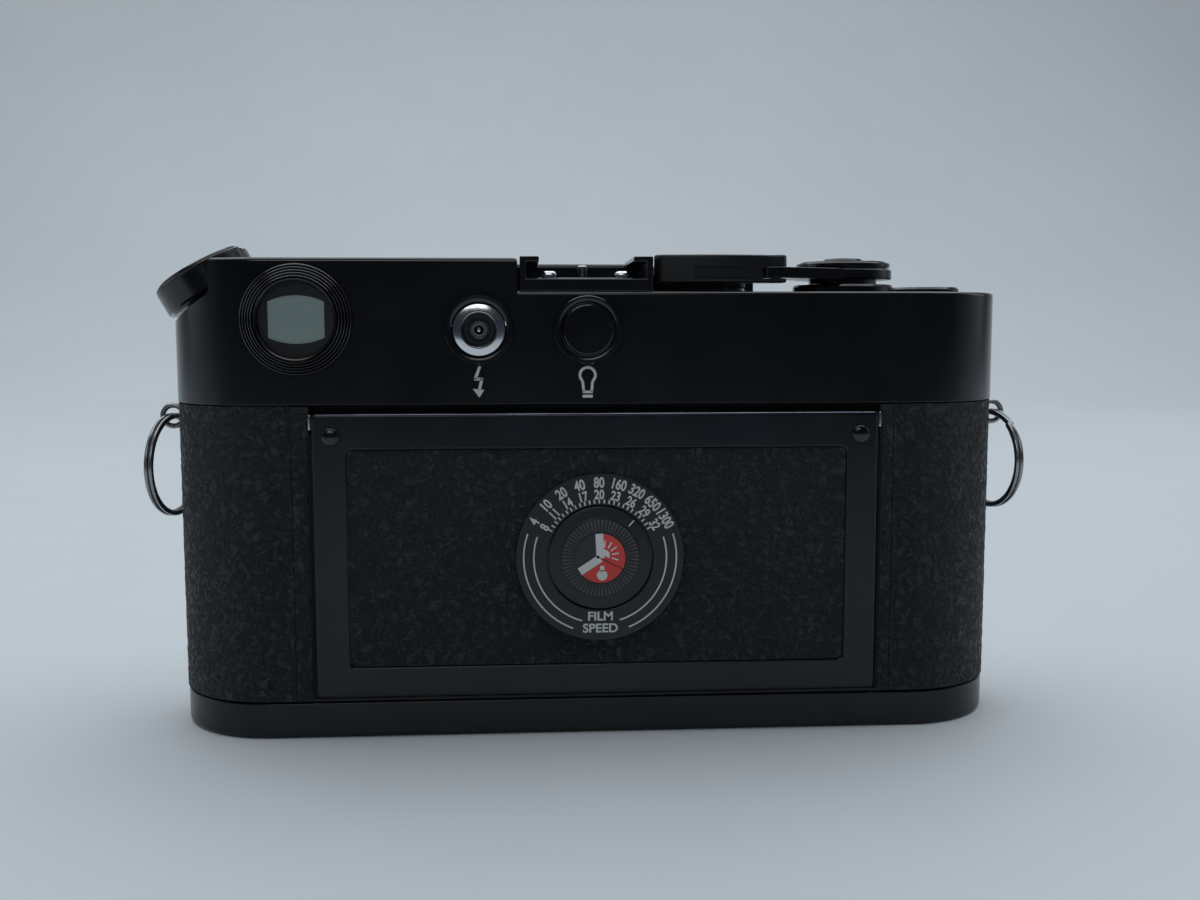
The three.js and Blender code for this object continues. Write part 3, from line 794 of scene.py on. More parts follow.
def flash_socket():
    shell = [
        (2.75, 14.2), (4.2, 14.2), (4.2, 17.35), (4.05, 17.5), (3.95, 17.5), (3.0, 17.95), (2.75, 17.9),
    ]
    sleeve = [(1.5, 14.2), (2.7, 14.2), (2.7, 17.3), (2.45, 17.4), (2.3, 17.0), (1.9, 17.0), (1.75, 16.7)]
    inner = [(0.75, 14.2), (1.45, 14.2), (1.45, 17.2), (1.3, 17.35), (0.9, 17.35), (0.75, 17.2)]
    pin = [(0, 14.2), (0.45, 14.2), (0.45, 16.9), (0.3, 17.1), (0, 17.15)]
    parts = [
        (tube(shell, 72, SYNC), CHROME),
        (tube(sleeve + [(1.5, 16.7)], 48, SYNC), DIAL_BLACK),
        (tube(inner, 48, SYNC), STEEL),
        (spin(pin, 24, "Y", SYNC), CHROME),
        (rod(4.1, 13.9, 14.6, 48, "Y", SYNC), DIAL_BLACK),
    ]
    make("flash_socket_ring", [(socket_ring(SYNC), PAINT)], "camera", ["sync_ring_x"], 40)
    make("flash_socket_contact", parts, "camera", ["sync_contact_x"], 40)


def bulb_socket():
    seat = [
        (0, 13.9), (4.1, 13.9), (4.1, 16.8), (4.35, 16.85), (4.35, 17.0), (3.9, 16.2), (2.6, 16.2),
        (2.6, 14.6),
    ]
    parts = [(socket_ring(BULB), PAINT), (spin(seat + [(0, 14.6)], 64, "Y", BULB), STEEL)]
    make("bulb_socket", parts, "camera", ["sync_socket_bulb"], 40)
    cap = [(0, 15.0), (2.2, 15.0), (2.2, 16.7), (3.8, 16.7), (4.0, 16.9), (4.0, 18.3), (3.9, 18.45)]
    cap += [(3.75, 18.5), (3.7, 18.42), (3.4, 18.42), (0, 18.48)]
    make("bulb_socket_cap", [(spin(cap, 72, "Y", BULB), PAINT)], "cap", ["sync_cap"], 35)


flash_socket()
bulb_socket()


def icons():
    def printed(geometry, x, z):
        return on_back(geometry, x, z, BACK_FACE), WHITE

    strokes = (((0.2, 2.45), (-0.6, 0.42)), ((-0.72, 0.45), (0.55, 0.45)), ((0.5, 0.6), (0.05, -1.3)))
    parts = [printed(bar(a, b, 0.46), 18.56, 57.15) for a, b in strokes]
    parts.append(printed(flat([(-0.95, -1.1), (0.05, -2.45), (0.85, -1.25)]), 18.56, 57.15))
    bulb = [(x, y + 1.15) for x, y in (clock(1.22, t) for t in range(-140, 141, 10))]
    path = [(-0.62, -1.5)] + bulb + [(0.62, -1.5)]
    parts += [printed(bar(a, b, 0.42), 1.44, 57.0) for a, b in zip(path, path[1:])]
    parts += [
        printed(flat(rect(-0.82, 0.82, low, high, 0.1)), 1.44, 57.0)
        for low, high in ((-2.4, -1.95), (-1.7, -1.3))
    ]
    make("socket_marks", parts, "camera")


icons()


# ----------------------------------------------------------------- accessory shoe
def shoe():
    left, right, front, back = 12.05, -9.0, -1.4, 16.2
    low, floor, lip, top = DECK + 0.05, 73.3, 75.95, 76.77
    section = [
        (right, low), (left, low), (left, top), (9, top), (9, lip), (left - 1, lip), (left - 1, floor),
    ]
    section += [(right + 1, floor), (right + 1, lip), (-5.95, lip), (-5.95, top), (right, top)]
    body = bevelled(prism([(x, z) for x, z in section][::-1], front, back, "Y"), 0.18, 2)
    parts = [
        (body, PAINT),
        (spin([(0, 73), (0.9, 73), (0.9, 75.9), (0.6, 76.2), (0, 76.2)], 24, "Z", (1.4, -0.4)), STEEL),
    ]
    for x in (-3.6, 6.7):
        for y in (1.6, 14.6):
            head = spin([(0, 73.2), (1.15, 73.2), (1.05, 73.42), (0, 73.5)], 24, "Z", (x, y))
            parts.append((carve(head, box(x - 2, x + 2, y - 0.14, y + 0.14, 73.36, 74)), STEEL))
    make("shoe_rails", parts, "camera", ["accessory_shoe"], 35)
    leaf = [(slab(rect(-6.6, 9.7, 5, 11.5, 0.6), 73.35, 73.6, 0.08), STEEL)]
    for x0, x1 in ((6.2, 8.5), (-5.4, -3.1)):
        bump = slab(rect(x0, x1, 11.3, 14.6, 0.7), 73.3, 74.55, 0.6, n=5)
        leaf.append((bump, CHROME))
    make("shoe_leaf", leaf, "camera", ["shoe_spring"], 35)


shoe()


# ----------------------------------------------------- advance lever and release
def advance():
    collar = [(4.6, DECK + 0.05), (8.1, DECK + 0.05), (8.4, 71.5), (8.4, 72.4)]
    collar += [(8.15, 72.72), (7.2, 72.75), (7.0, 72.55), (4.6, 72.55)]
    make(
        "lever_collar", [(tube(collar, 96, HUB, "Z"), PAINT)], "camera", ["advance_collar"],
        35,
    )
    low = [
        (3.6, 67), (4.0, 67), (4.0, 72.9), (5.7, 72.95), (5.7, 73.6), (7.9, 73.6), (8.15, 73.8),
        (8.15, 75.1),
    ]
    step = [(3.6, 75.3), (7.4, 75.3), (7.4, 75.55), (7.75, 75.6), (7.85, 75.7), (7.85, 76.2), (7.7, 76.35)]
    rim = [(3.6, 76.2), (7.3, 76.2), (7.0, 76.6), (4.0, 76.66), (3.6, 76.5)]
    pin = [(0, 73.0), (0.9, 73.0), (0.9, 77.0), (0.7, 77.12), (0, 77.12)]
    parts = [
        (slab(pill(HUB, 6.6, TIP, 2.7, 20), 73.55, 75.3, 0.14, 0.14), PAINT),
        (tube(low + [(7.9, 75.3), (3.6, 75.3)], 96, HUB, "Z"), PAINT),
        (tube(step + [(3.6, 76.35)], 96, HUB, "Z"), PAINT),
        (tube(rim, 96, HUB, "Z"), PAINT),
        (spin(pin, 24, "Z", TIP), STEEL),
    ]
    make("lever_arm", parts, "lever", ["advance_lever"], 35)
    outline = arc(-28.9, 12, 2.2, 130, 270, 12)
    outline += arc(-11.6, 11.6, 2, -90, 60, 12) + arc(-20, -20, 34.2, 78, 104, 12)
    slot = prism([(-36, 5), (-29.5, 5), (-29.5, 17), (-36, 17)], 73.45, 75.4)
    recess = prism([(-27, 13.55), (-15.8, 13.55), (-15.8, 20), (-27, 20)], 73.45, 75.4)
    tip = bevelled(prism(outline, 72.8, 77.25), 0.35, 3)
    tip = carve(tip, slot, prism(circle(*TIP, 3.1, 48), 73.45, 75.4))
    tip = carve(tip, recess)
    tip = carve(tip, prism(circle(*TIP, 1.15, 24), 70, 80))
    make("lever_thumb_tip", [(tip, PLASTIC)], "tip", ["lever_tip"], 35)
    button = [(0, 64.5), (1.5, 64.5), (1.5, 74.4), (3.3, 74.4), (3.3, 76.85), (3.05, 77.15), (2.4, 77.24)]
    button = spin(button + [(1.7, 77.2), (1.5, 77.0), (1.0, 75.6), (0, 75.6)], 64, "Z", HUB)
    make("release", [(button, PAINT)], "release", ["release_button"], 35)


advance()


def on_top(geometry, x, y, z, angle=0.0):
    """Art drawn flat, put on a face that looks up and read from the back; angle turns it clockwise."""
    basis = Matrix(((-1, 0, 0, x), (0, -1, 0, y), (0, 0, 1, z), (0, 0, 0, 1)))
    return moved(geometry, basis @ rotation(-angle, "Z"))


def number_on_top(words, height, squeeze, at, r, angle, z):
    dx, dy = clock(r, angle)
    return on_top(lettering(words, height, squeeze), at[0] - dx, at[1] - dy, z, angle), WHITE


def speed_dial():
    foot = [(0, 66), (2, 66), (2, 71.6), (8.4, 71.6), (8.6, 71.8), (8.6, 72.2), (0, 72.2)]
    top = [(0, 74.4), (7.9, 74.4), (7.6, 75.1), (7.2, 75.2), (2.6, 75.2), (2.2, 75.35), (0, 75.4)]
    parts = [
        (spin(foot, 96, "Z", SPEED), PAINT),
        (knurl(0.01, 8.7, 72.2, 74.5, 64, "Z", SPEED, 0.25, 6, 0.3), PAINT),
        (spin(top, 96, "Z", SPEED), PAINT),
    ]
    marks = ["B", "1", "2", "4", "8", "15", "30", "60", "125", "250", "500", "1000"]
    for i, word in enumerate(marks):
        parts.append(number_on_top(word, 1.15, 0.72, SPEED, 5.9, 360 * i / len(marks), 75.21))
    make("shutter_dial", parts, "speed", ["speed_dial"], 35)


speed_dial()


def counter_parts():
    profile = [
        (4.35, DECK + 0.05), (5.9, DECK + 0.05), (6.05, 71.5), (6.05, 72.1), (5.7, 72.45), (4.7, 72.45),
        (4.35, 72.2),
    ]
    bezel = tube(profile, 96, COUNTER, "Z")
    pane = spin([(0, 71.55), (4.34, 71.55), (4.34, 71.8), (3.4, 72.05), (0, 72.15)], 64, "Z", COUNTER)
    pointer = on_top(flat([(-0.45, 0), (0.45, 0), (0, 1.4)]), COUNTER[0], COUNTER[1] + 4.2, 71.5)
    make(
        "counter_window", [(bezel, PAINT), (pane, CLEAR), (pointer, WHITE)], "camera",
        ["counter_bezel"], 35,
    )
    profile = [(0, 65), (0.8, 65), (0.8, 70.4), (4.1, 70.4), (4.2, 70.5), (4.2, 70.9), (0, 70.9)]
    disc = [(spin(profile, 64, "Z", COUNTER), DIAL_BLACK)]
    for i in range(40):
        numbered = i % 5 == 0
        disc.append((on_top(ray(4.0, 3.5 if numbered else 3.75, 9 * i, 0.12), *COUNTER, 70.92), WHITE))
        if numbered:
            disc.append(number_on_top(str(i), 0.75, 0.7, COUNTER, 2.8, 9 * i, 70.92))
    make("counter_plate", disc, "counter", ["counter_disc"], 35)


counter_parts()


# ---------------------------------------------------------------------- rewind
def rewind():
    profile = [
        (0, 0.45), (8.05, 0.45), (8.25, 0.7), (8.25, 4.35), (8.15, 4.42), (8.15, 4.55), (8.22, 4.65),
        (8.1, 4.85), (0, 4.9),
    ]
    head = spin(profile, 128)
    head = fuse(head, spin([(0, 4.5), (7.75, 4.5), (7.75, 5.1), (7.5, 5.3), (0, 5.3)], 96))
    head = carve(head, slab(rect(-12, 12, -2.5, 2.5), 4.2, 8), rod(2.4, 2, 6, 32, "Z", (4.9, 0)))
    profile = [
        (0, -15), (3.2, -15), (3.2, -13.5), (1.6, -13.2), (1.6, -0.8), (5, -0.8), (5.1, 0), (7.4, 0),
        (7.6, 0.5), (0, 0.5),
    ]
    stem = spin(profile, 64)
    make(
        "rewind_head", [(moved(head, KNOB), PAINT), (moved(stem, KNOB), PAINT)], "knob",
        ["rewind_knob"], 35,
    )
    arm = slab(
        [(-5.8, -2.2), (5.2, -2.2)] + arc(4.9, 0, 2.2, -80, 80, 12) + [(5.2, 2.2), (-5.8, 2.2)], 4.5, 5.28,
        0.2, 0.15,
    )
    hinge = moved(rod(0.45, -2.2, 2.2, 24, "Y"), shift(-5.8, 0, 4.9))
    arm = carve(fuse(arm, hinge), rod(0.8, 4, 6, 24, "Z", (PEG_X, 0)))
    make("rewind_handle", [(moved(arm, KNOB), STEEL)], "crank", ["rewind_crank"], 35)
    profile = [
        (0, 2.4), (1.3, 2.4), (1.5, 2.6), (1.5, 4.1), (1.35, 4.25), (0.5, 4.25), (0.5, 5.2), (0.4, 5.35),
        (0, 5.35),
    ]
    peg = spin(profile, 32, "Z", (PEG_X, 0))
    make("handle_peg", [(moved(peg, KNOB), PLASTIC)], "peg", ["crank_peg"], 35)


rewind()


# --------------------------------------------------------------- lugs and rings
def rings():
    for suffix, side in (("l", 1), ("r", -1)):
        section = [(1.75 + 0.45 * x, 0.68 * y) for x, y in (polar(1, a) for a in range(0, 360, 30))]
        eye = tube(section, 48, (side * 70.45, 50.95))
        make(f"strap_eye_{suffix}", [(eye, STEEL)], "camera", [f"strap_lug_{suffix}"], 60)
        n = 96
        sections = []
        for i in range(2 * n + 1):
            a = math.tau * i / n
            lift = 0.41 * max(-1, min(1, (i - n) / (n * 0.07)))
            section = []
            for k in range(10):
                t = math.tau * k / 10
                r = 8.2 + 0.5 * math.cos(t)
                section.append((r * math.cos(a), r * math.sin(a), lift + 0.38 * math.sin(t)))
            sections.append(section)
        coil = loft(sections)
        place = (
            shift(side * 70.55, 0, 50.9 - 8.2)
            @ rotation(side * 76, "Z")
            @ rotation(90, "X")
            @ rotation(130, "Z")
        )
        make(
            f"split_ring_{suffix}", [(moved(coil, place), STEEL)], f"ring_{suffix}",
            [f"strap_ring_{suffix}"], 60,
        )


rings()


# --------------------------------------------------------------------- back flap
def flap():
    x0, x1, z0, z1 = -45.35, 44.75, 6.8, 52.3

    def outer(d):
        return rect(x0 + d, x1 - d, z0 + d, z1 - d, max(0.7 - d * 0.5, 0.2))

    def inner(d):
        return rect(-40.2 + d, 39.5 - d, 11.7 + d, 46.7 - d, 1.0)

    levels = [(outer(0.15), 16.1), (outer(0), 16.25), (outer(0), 17.0)]
    levels += [
        (outer(0.6 * (1 - math.cos(math.radians(a)))), 17.0 + 0.6 * math.sin(math.radians(a)))
        for a in (20, 40, 60, 75, 90)
    ]
    levels += [
        (outer(0.75), 17.6), (inner(-0.2), 17.6), (inner(-0.12), 17.58), (inner(0), 17.5),
        (inner(0), 17.02),
    ]
    plate = loft([[(x, y, z) for x, z in outline] for outline, y in levels])
    parts = [(plate, PAINT_FLAP)]
    for a, b in ((41.0, 44.45), (-45.05, -41.6)):
        lug = slab(rect(15.0, 16.2, 50.0, 51.9, 0.3), a, b, axis="X")
        parts.append((carve(lug, rod(0.66, a - 1, b + 1, 24, "X", HINGE)), PAINT_FLAP))
        parts.append((tube([(0.66, a), (1.0, a), (1.0, b), (0.66, b)], 32, HINGE, "X"), PAINT_FLAP))
    for z in (16.0, 42.5):
        parts.append((slab(rect(-36, 36, z, z + 1.2, 0.5), 15.75, 16.15, 0, 0.15, "Y"), PAINT_FLAP))
    profile = [
        (0, x0 + 0.5), (0.12, x0 + 0.5), (0.2, x0 + 0.8), (0.2, x1 - 0.8), (0.12, x1 - 0.5), (0, x1 - 0.5),
    ]
    # The flap's top edge strip: wear and a painted highlight line.
    edge = spin(profile, 24, "X", (17.28, 51.98))
    parts.append((edge, WORN_AND_HIGHLIGHT))
    make("flap_frame", parts, "flap", ["back_flap"], 35)

    def at(u, v):
        x, z = 39.3 - 79.3 * u, 11.9 + 34.6 * v
        r = 0.9
        cx, cz = min(max(x, -40 + r), 39.3 - r), min(max(z, 11.9 + r), 46.5 - r)
        d = Vector((x - cx, z - cz))
        if d.x and d.y:
            d = d * (max(abs(d.x), abs(d.y)) / d.length)
        return Vector((cx + d.x, 17.5, cz + d.y)), Vector((0, 1, 0))

    skin(
        "flap_covering", 160, 70, at, "flap", ["flap_cover"],
        lambda p: math.hypot(p.x - DIAL[0], p.z - DIAL[1]) > 12.8, 0.12,
    )
    for suffix, x in (("l", 41.74), ("r", -42.35)):
        profile = [
            (0, 17.55), (1.46, 17.55), (1.46, 17.72), (1.3, 17.95), (1.0, 18.1), (0.6, 18.19), (0, 18.22),
        ]
        dome = spin(profile, 32, "Y", (x, RIVET_Z))
        make(f"rivet_{suffix}", [(dome, PAINT)], "flap", [f"flap_rivet_{suffix}"], 60)
    for suffix, a, b in (("l", 42.0, 48.0), ("r", -48.6, -42.6)):
        pin = spin([(0, a), (0.42, a), (0.5, a + 0.1), (0.5, b - 0.1), (0.42, b), (0, b)], 24, "X", HINGE)
        make(f"flap_pin_{suffix}", [(pin, CHROME)], "camera", [f"hinge_pin_{suffix}"], 40)
        x = 45.02 if suffix == "l" else -45.65
        cap = slab(rect(x - 0.22, x + 0.22, 49.7, 52.1, 0.2), 16.0, 17.0, 0.15, 0.1, "Y")
        make(f"flap_pin_end_{suffix}", [(cap, CHROME)], "camera", (), 40)


flap()


PLATE_FACE, DISC_FACE = 17.96, 18.36
FIRST_NUMBER, NUMBER_STEP = -60.5, 14.9
FIELD_R = 3.95


def on_dial(geometry, material, y, r=0.0, angle=0.0):
    """Art on the film dial, moved out by r towards angle and turned with it."""
    dx, dz = clock(r, angle)
    return on_back(geometry, DIAL[0] - dx, DIAL[1] + dz, y, angle), material


def film_speed_plate():
    rim = [
        (8.55, 17.05), (13.5, 17.05), (13.55, 17.1), (13.55, 17.75), (13.4, 17.93), (8.75, 17.95),
        (8.55, 17.8),
    ]
    parts = [(tube(rim, 128, DIAL), DIAL_BLACK)]

    def printed(geometry, r=0.0, angle=0.0):
        parts.append(on_dial(geometry, GREY_FILL, PLATE_FACE, r, angle))

    outer = ("4", "10", "20", "40", "80", "160", "320", "650", "1300")
    inner = ("8", "11", "14", "17", "20", "23", "26", "29", "32")
    for i in range(9):
        angle = FIRST_NUMBER + NUMBER_STEP * i
        printed(lettering(outer[i], 1.62, 0.74, 0.03, 0.042), 12.0, angle)
        printed(lettering(inner[i], 1.45, 0.78, 0.03, 0.042), 10.1, angle)
    for i in range(25):
        printed(ray(8.75, 9.38, FIRST_NUMBER + NUMBER_STEP / 3 * i, 0.24))
    for r, a0, a1 in ((12.2, 72, 158), (10.6, 72, 163)):
        printed(band(r, 0.24, a0, a1))
        printed(band(r, 0.24, -a1 - 1, -a0 + 1))
    for words, drop in (("FILM", 9.55), ("SPEED", 11.5)):
        word = moved(lettering(words, 1.4, 1.05, 0.03, 0.035), shift(0, -drop, 0))
        printed(word)
    make("film_speed_plate", parts, "flap", ["dial_plate"], 40)


def film_type_disc():
    """The turning disc: a ring of ticks round a field that shows the kind of film."""
    hub = [
        (0, 17.05), (8.25, 17.05), (8.25, 17.85), (8.0, 18.0), (6.5, 18.05), (6.3, 18.15), (6.25, 18.3),
        (0, 18.3),
    ]
    parts = [
        (spin(hub, 128, "Y", DIAL), DIAL_BLACK),
        (tube([(3.95, 18.25), (4.2, 18.25), (4.2, 18.42), (3.95, 18.42)], 96, DIAL), DIAL_BLACK),
        (tube([(4.3, 18.2), (6.15, 18.2), (6.15, 18.33), (4.3, 18.33)], 96, DIAL), TICK),
    ]

    def printed(geometry, material, y):
        parts.append(on_dial(geometry, material, y))

    for i in range(60):
        printed(ray(4.35, 6.2, 6 * i, 0.3, 0.2), DIAL_BLACK, DISC_FACE)
    printed(ray(6.6, 8.0, 42, 0.2), GREY_FILL, 18.02)
    for start, material in ((-3, RED), (117, RED), (237, BLUE_GREY)):
        sector = [(0, 0)] + arc(0, 0, FIELD_R, 90 - start - 120, 90 - start, 32)
        printed(flat(sector, 0.12), material, DISC_FACE)
    for angle in (-3, 237):
        printed(ray(0, FIELD_R, angle, 1.25, 0.15), WHITE, DISC_FACE + 0.02)
    printed(ray(0, FIELD_R, 117, 0.14, 0.15), DIAL_BLACK, DISC_FACE + 0.02)
    sun = (0.55, 0.45)
    art = [flat([sun] + [polar(0.95, t, sun) for t in range(-28, 96, 8)], 0.16)]
    art += [bar(polar(1.3, t, sun), polar(2.4, t, sun), 0.24, 0.16) for t in (-18, 8, 34, 60, 86)]
    art += [flat(circle(0.25, -2.75, 0.85, 24), 0.16), flat(rect(-0.1, 0.6, -2.1, -1.2, 0.1), 0.16)]
    for shape in art:
        printed(shape, WHITE, DISC_FACE + 0.03)
    make("film_type_disc", parts, "film_disc", ["film_speed_disc"], 40)


film_speed_plate()
film_type_disc()


# --------------------------------------------------------------------- base plate
def base():
    tray = slab(stadium(16.5), 0, 5.8, 0.25, 0.9, n=5)
    tray = carve(tray, slab(stadium(15.3), 1.4, 8))
    tray = fuse(tray, slab(circle(KEY_X, 0, 9.6), 1.2, 3.9), slab(circle(BUSH_X, 0, 7.6), 1.2, 5.2))
    tray = carve(
        tray, slab(circle(KEY_X, 0, 8.4), -1, 2.5), slab(circle(KEY_X, 0, 2.4, 32), -1, 8),
        slab(circle(BUSH_X, 0, 6.35), -1, 8),
    )
    make("bottom_cover", [(tray, PAINT_BASE)], "base", ["base_plate"], 35)
    bore = [(6.0, 0.1), (6.0, 5.0), (3.3, 5.0)]
    z = 4.9
    while z > 0.6:
        bore += [(3.1, z - 0.3), (3.45, z - 0.62)]
        z -= 0.64
    bore += [(3.3, 0.3), (3.6, 0.1)]
    make(
        "tripod_socket", [(tube(bore, 64, (BUSH_X, 0), "Z"), BRASS)], "base", ["tripod_bush"],
        40,
    )
    plate = [(0, 1.45), (7.9, 1.45), (8.0, 1.55), (8.0, 2.1), (7.9, 2.2), (2.1, 2.2), (2.1, 5.3), (0, 5.3)]
    key = [
        (spin(plate, 64, "Z", (KEY_X, 0)), SATIN),
        (box(KEY_X - 6, KEY_X + 6, -2, 2, 4.3, 5.3, 0.2), SATIN),
        (box(KEY_X - 0.8, KEY_X + 0.8, -4.8, 4.8, 0.3, 1.6, 0.15), SATIN),
    ]
    make("lock_key", key, "key", ["base_key"], 35)
    bail = slab(arc(KEY_X, 0, 7.2, -90, 90, 40) + arc(KEY_X, 0, 5.1, 90, -90, 40), 0.25, 1.2, 0.2, 0.2)
    make("lock_bail", [(bail, SATIN)], "bail", ["key_handle"], 35)


base()

# -------------------------------------------------------------- lens and front
AXIS = (0, LENS_Z)


def on_ring(geometry, r, y, angle):
    """Art drawn flat, put on a ring round the lens axis, read from above; angle runs from the top to +X."""
    c, q = math.cos(math.radians(angle)), math.sin(math.radians(angle))
    basis = Matrix(((-c, 0, q, r * q), (0, -1, 0, y), (q, 0, c, LENS_Z + r * c), (0, 0, 0, 1)))
    return moved(geometry, basis)


def bayonet():
    profile = [
        (19.3, -18.3), (22.6, -18.3), (22.8, -18.1), (22.8, -16.5), (20.9, -16.5), (20.9, -12), (19.3, -12),
    ]
    flange = tube(profile, 128, AXIS)
    parts = [(flange, CHROME)]
    for a in (45, 135, 225, 315):
        x, z = polar(21.05, a, AXIS)
        head = spin([(0, -18.2), (1.0, -18.2), (1.0, -18.33), (0.8, -18.42), (0, -18.42)], 24, "Y", (x, z))
        parts.append((carve(head, box(x - 1.2, x + 1.2, -18.6, -18.36, z - 0.12, z + 0.12)), STEEL))
    make("bayonet_ring", parts, "camera", ["mount_flange"], 35)


def lens_tube():
    barrel = [
        (15.4, -13.5), (18.7, -13.5), (18.9, -13.7), (18.9, -18.6), (22.4, -18.6), (22.4, -20.1),
        (22.1, -20.4), (17, -20.4), (17, -33), (15.4, -33),
    ]
    parts = [(tube(barrel, 128, AXIS), SATIN)]
    parts.append((on_ring(slab(circle(0, 0, 0.55, 24), -0.2, 0.25, 0.2), 22.4, -19.5, 32), RED))
    parts.append((on_ring(bar((0, -0.75), (0, 0.75), 0.22), 22.42, -19.5, 0), INK))
    for side in (1, -1):
        for k, gap in enumerate((5, 9, 15, 23)):
            parts.append((on_ring(bar((0, 0.1), (0, 0.75), 0.16), 22.42, -19.5, side * gap), INK))
    make("lens_tube", parts, "lens", ["lens_barrel"], 35)


def focus_grip():
    profile = [
        (17.4, -27.6), (22.0, -27.6), (22.2, -27.4), (22.2, -24.2), (22.2, -21.0), (22.0, -20.8),
        (17.4, -20.8),
    ]
    ring = tube(profile, 128, AXIS)
    parts = [(ring, SATIN), (knurl(21.5, 22.9, -27.4, -24.6, 110, "Y", AXIS, 0.3, 6, 0.4), SATIN)]
    outline = [(-3.5, -26.6), (-2.6, -27.4), (2.6, -27.4), (3.5, -26.6), (3.9, -22.0), (-3.9, -22.0)]
    tab = prism(outline, -26.2, -22, "Y")
    tab = carve(tab, moved(rod(9.5, -5, 30, 64, "Y"), shift(0, -30, -35.0)))
    tab = moved(bevelled(tab, 0.5, 3), shift(0, 0, LENS_Z) @ rotation(40, "Y"))
    parts.append((tab, SATIN))
    for words, a in (
        ("1", 78), ("1.2", 64), ("1.5", 50), ("2", 37), ("3", 25), ("5", 14), ("10", 5), ("20", -3),
    ):
        parts.append((on_ring(lettering(words, 1.5, 0.8, 0.04, 0.02), 22.21, -22.5, a), INK))
        parts.append((on_ring(bar((0, -1.55), (0, -1.1), 0.16), 22.21, -22.3, a), INK))
    make("focus_grip", parts, "focus", ["focus_ring"], 35)


def aperture_grip():
    profile = [(17.4, -33.2), (19.6, -33.2), (19.8, -33.0), (19.8, -28.2), (19.6, -28), (17.4, -28)]
    ring = tube(profile, 128, AXIS)
    parts = [(ring, SATIN), (knurl(19.2, 20.4, -33.0, -31.3, 100, "Y", AXIS, 0.25, 6, 0.35), SATIN)]
    for i, words in enumerate(("2", "2.8", "4", "5.6", "8", "11", "16")):
        parts.append((on_ring(lettering(words, 1.4, 0.8, 0.04, 0.02), 19.81, -29.9, 27 - 9 * i), INK))
        parts.append((on_ring(bar((0, -0.95), (0, -0.5), 0.16), 19.81, -29.0, 27 - 9 * i), INK))
    make("aperture_grip", parts, "aperture", ["aperture_ring"], 35)


def thread(y, end, r0, r1, pitch):
    """Zigzag points of a screw thread between two places along the lens axis."""
    points = []
    while y < end:
        points += [(r0, y), (r1, y + pitch / 2)]
        y += pitch
    return points


def lens_front():
    front = [
        (13, -17), (15, -17), (15, -33.6), (20.2, -33.6), (20.4, -33.8), (20.4, -35.6), (20.2, -35.8),
        (20.2, -36.2), (20.4, -36.4),
    ]
    front += [(20.4, -42.6), (20.1, -43), (19.4, -43), (19.15, -42.8)]
    front += thread(-42.6, -40.4, 19.35, 19.15, 0.4)
    front += [
        (19.1, -39.9), (18.7, -39.5), (18.3, -39.4), (17.9, -38.9), (13.8, -37.0), (13.4, -36.85),
        (13.2, -36.3), (13, -36.2),
    ]
    front += thread(-35.9, -28, 13.0, 12.8, 0.7)
    parts = [(tube(front, 128, AXIS), SATIN)]
    cone = [(17.8, -38.88), (17.7, -38.95), (13.9, -37.14), (13.9, -37.0)]
    parts.append((tube(cone, 128, AXIS), DIAL_BLACK))
    bulge = [(12.75 * x, -33.0 - 3.2 * y) for x, y in (clock(1, t) for t in range(88, 9, -6))]
    parts.append((spin([(0, -32.2), (12.7, -32.2)] + bulge + [(0, -36.2)], 96, "Y", AXIS), LENS))
    rear = [(0, -17.6), (10.5, -17.6), (11.5, -18.2), (12.6, -18.6), (12.6, -20.2), (0, -20.2)]
    parts.append((spin(rear, 96, "Y", AXIS), LENS))
    upright = rotation(91.5, "X")
    for i in range(10):
        turned = shift(0, 0, LENS_Z) @ rotation(36 * i, "Y") @ upright
        blade = prism([(5.4, -3.2), (12.2, -2.2), (12.2, 5.0), (6.2, 3.6)], 26.2, 26.3)
        parts.append((moved(blade, turned), MATT))
    parts.append((tube([(12.0, -26.8), (13.0, -26.8), (13.0, -25.6), (12.0, -25.6)], 96, AXIS), MATT))
    make("lens_front", parts, "head", ["lens_head", "front_glass", "iris_diaphragm"], 35)


def front_lever(name, node, body, at, boss, arm, length, end, back, mid, out):
    tail = (at[0], at[1] - length)
    blade = bevelled(prism(pill(at, arm, tail, end, 16), out, mid + 0.1, "Y"), 0.3, 3)
    profile = [
        (0, back), (boss - 0.1, back), (boss, back - 0.1), (boss, mid), (boss - 0.2, mid - 0.2),
        (boss - 0.5, mid - 0.25), (0, mid - 0.25),
    ]
    hub = spin(profile, 64, "Y", at)
    profile = [
        (0, out + 0.3), (arm * 0.62, out + 0.3), (arm * 0.62, out), (arm * 0.5, out - 0.08),
        (0, out - 0.08),
    ]
    screw = spin(profile, 32, "Y", at)
    screw = carve(screw, box(at[0] - 3, at[0] + 3, out - 0.3, out + 0.08, at[1] - 0.16, at[1] + 0.16))
    profile = [
        (0, out + 0.2), (end * 0.75, out + 0.2), (end * 0.75, out - 0.02), (end * 0.6, out - 0.1),
        (end * 0.3, out + 0.06), (0, out + 0.1),
    ]
    knob = spin(profile, 32, "Y", tail)
    make(name, [(blade, SATIN), (hub, SATIN), (screw, STEEL), (knob, SATIN)], body, [node], 35)


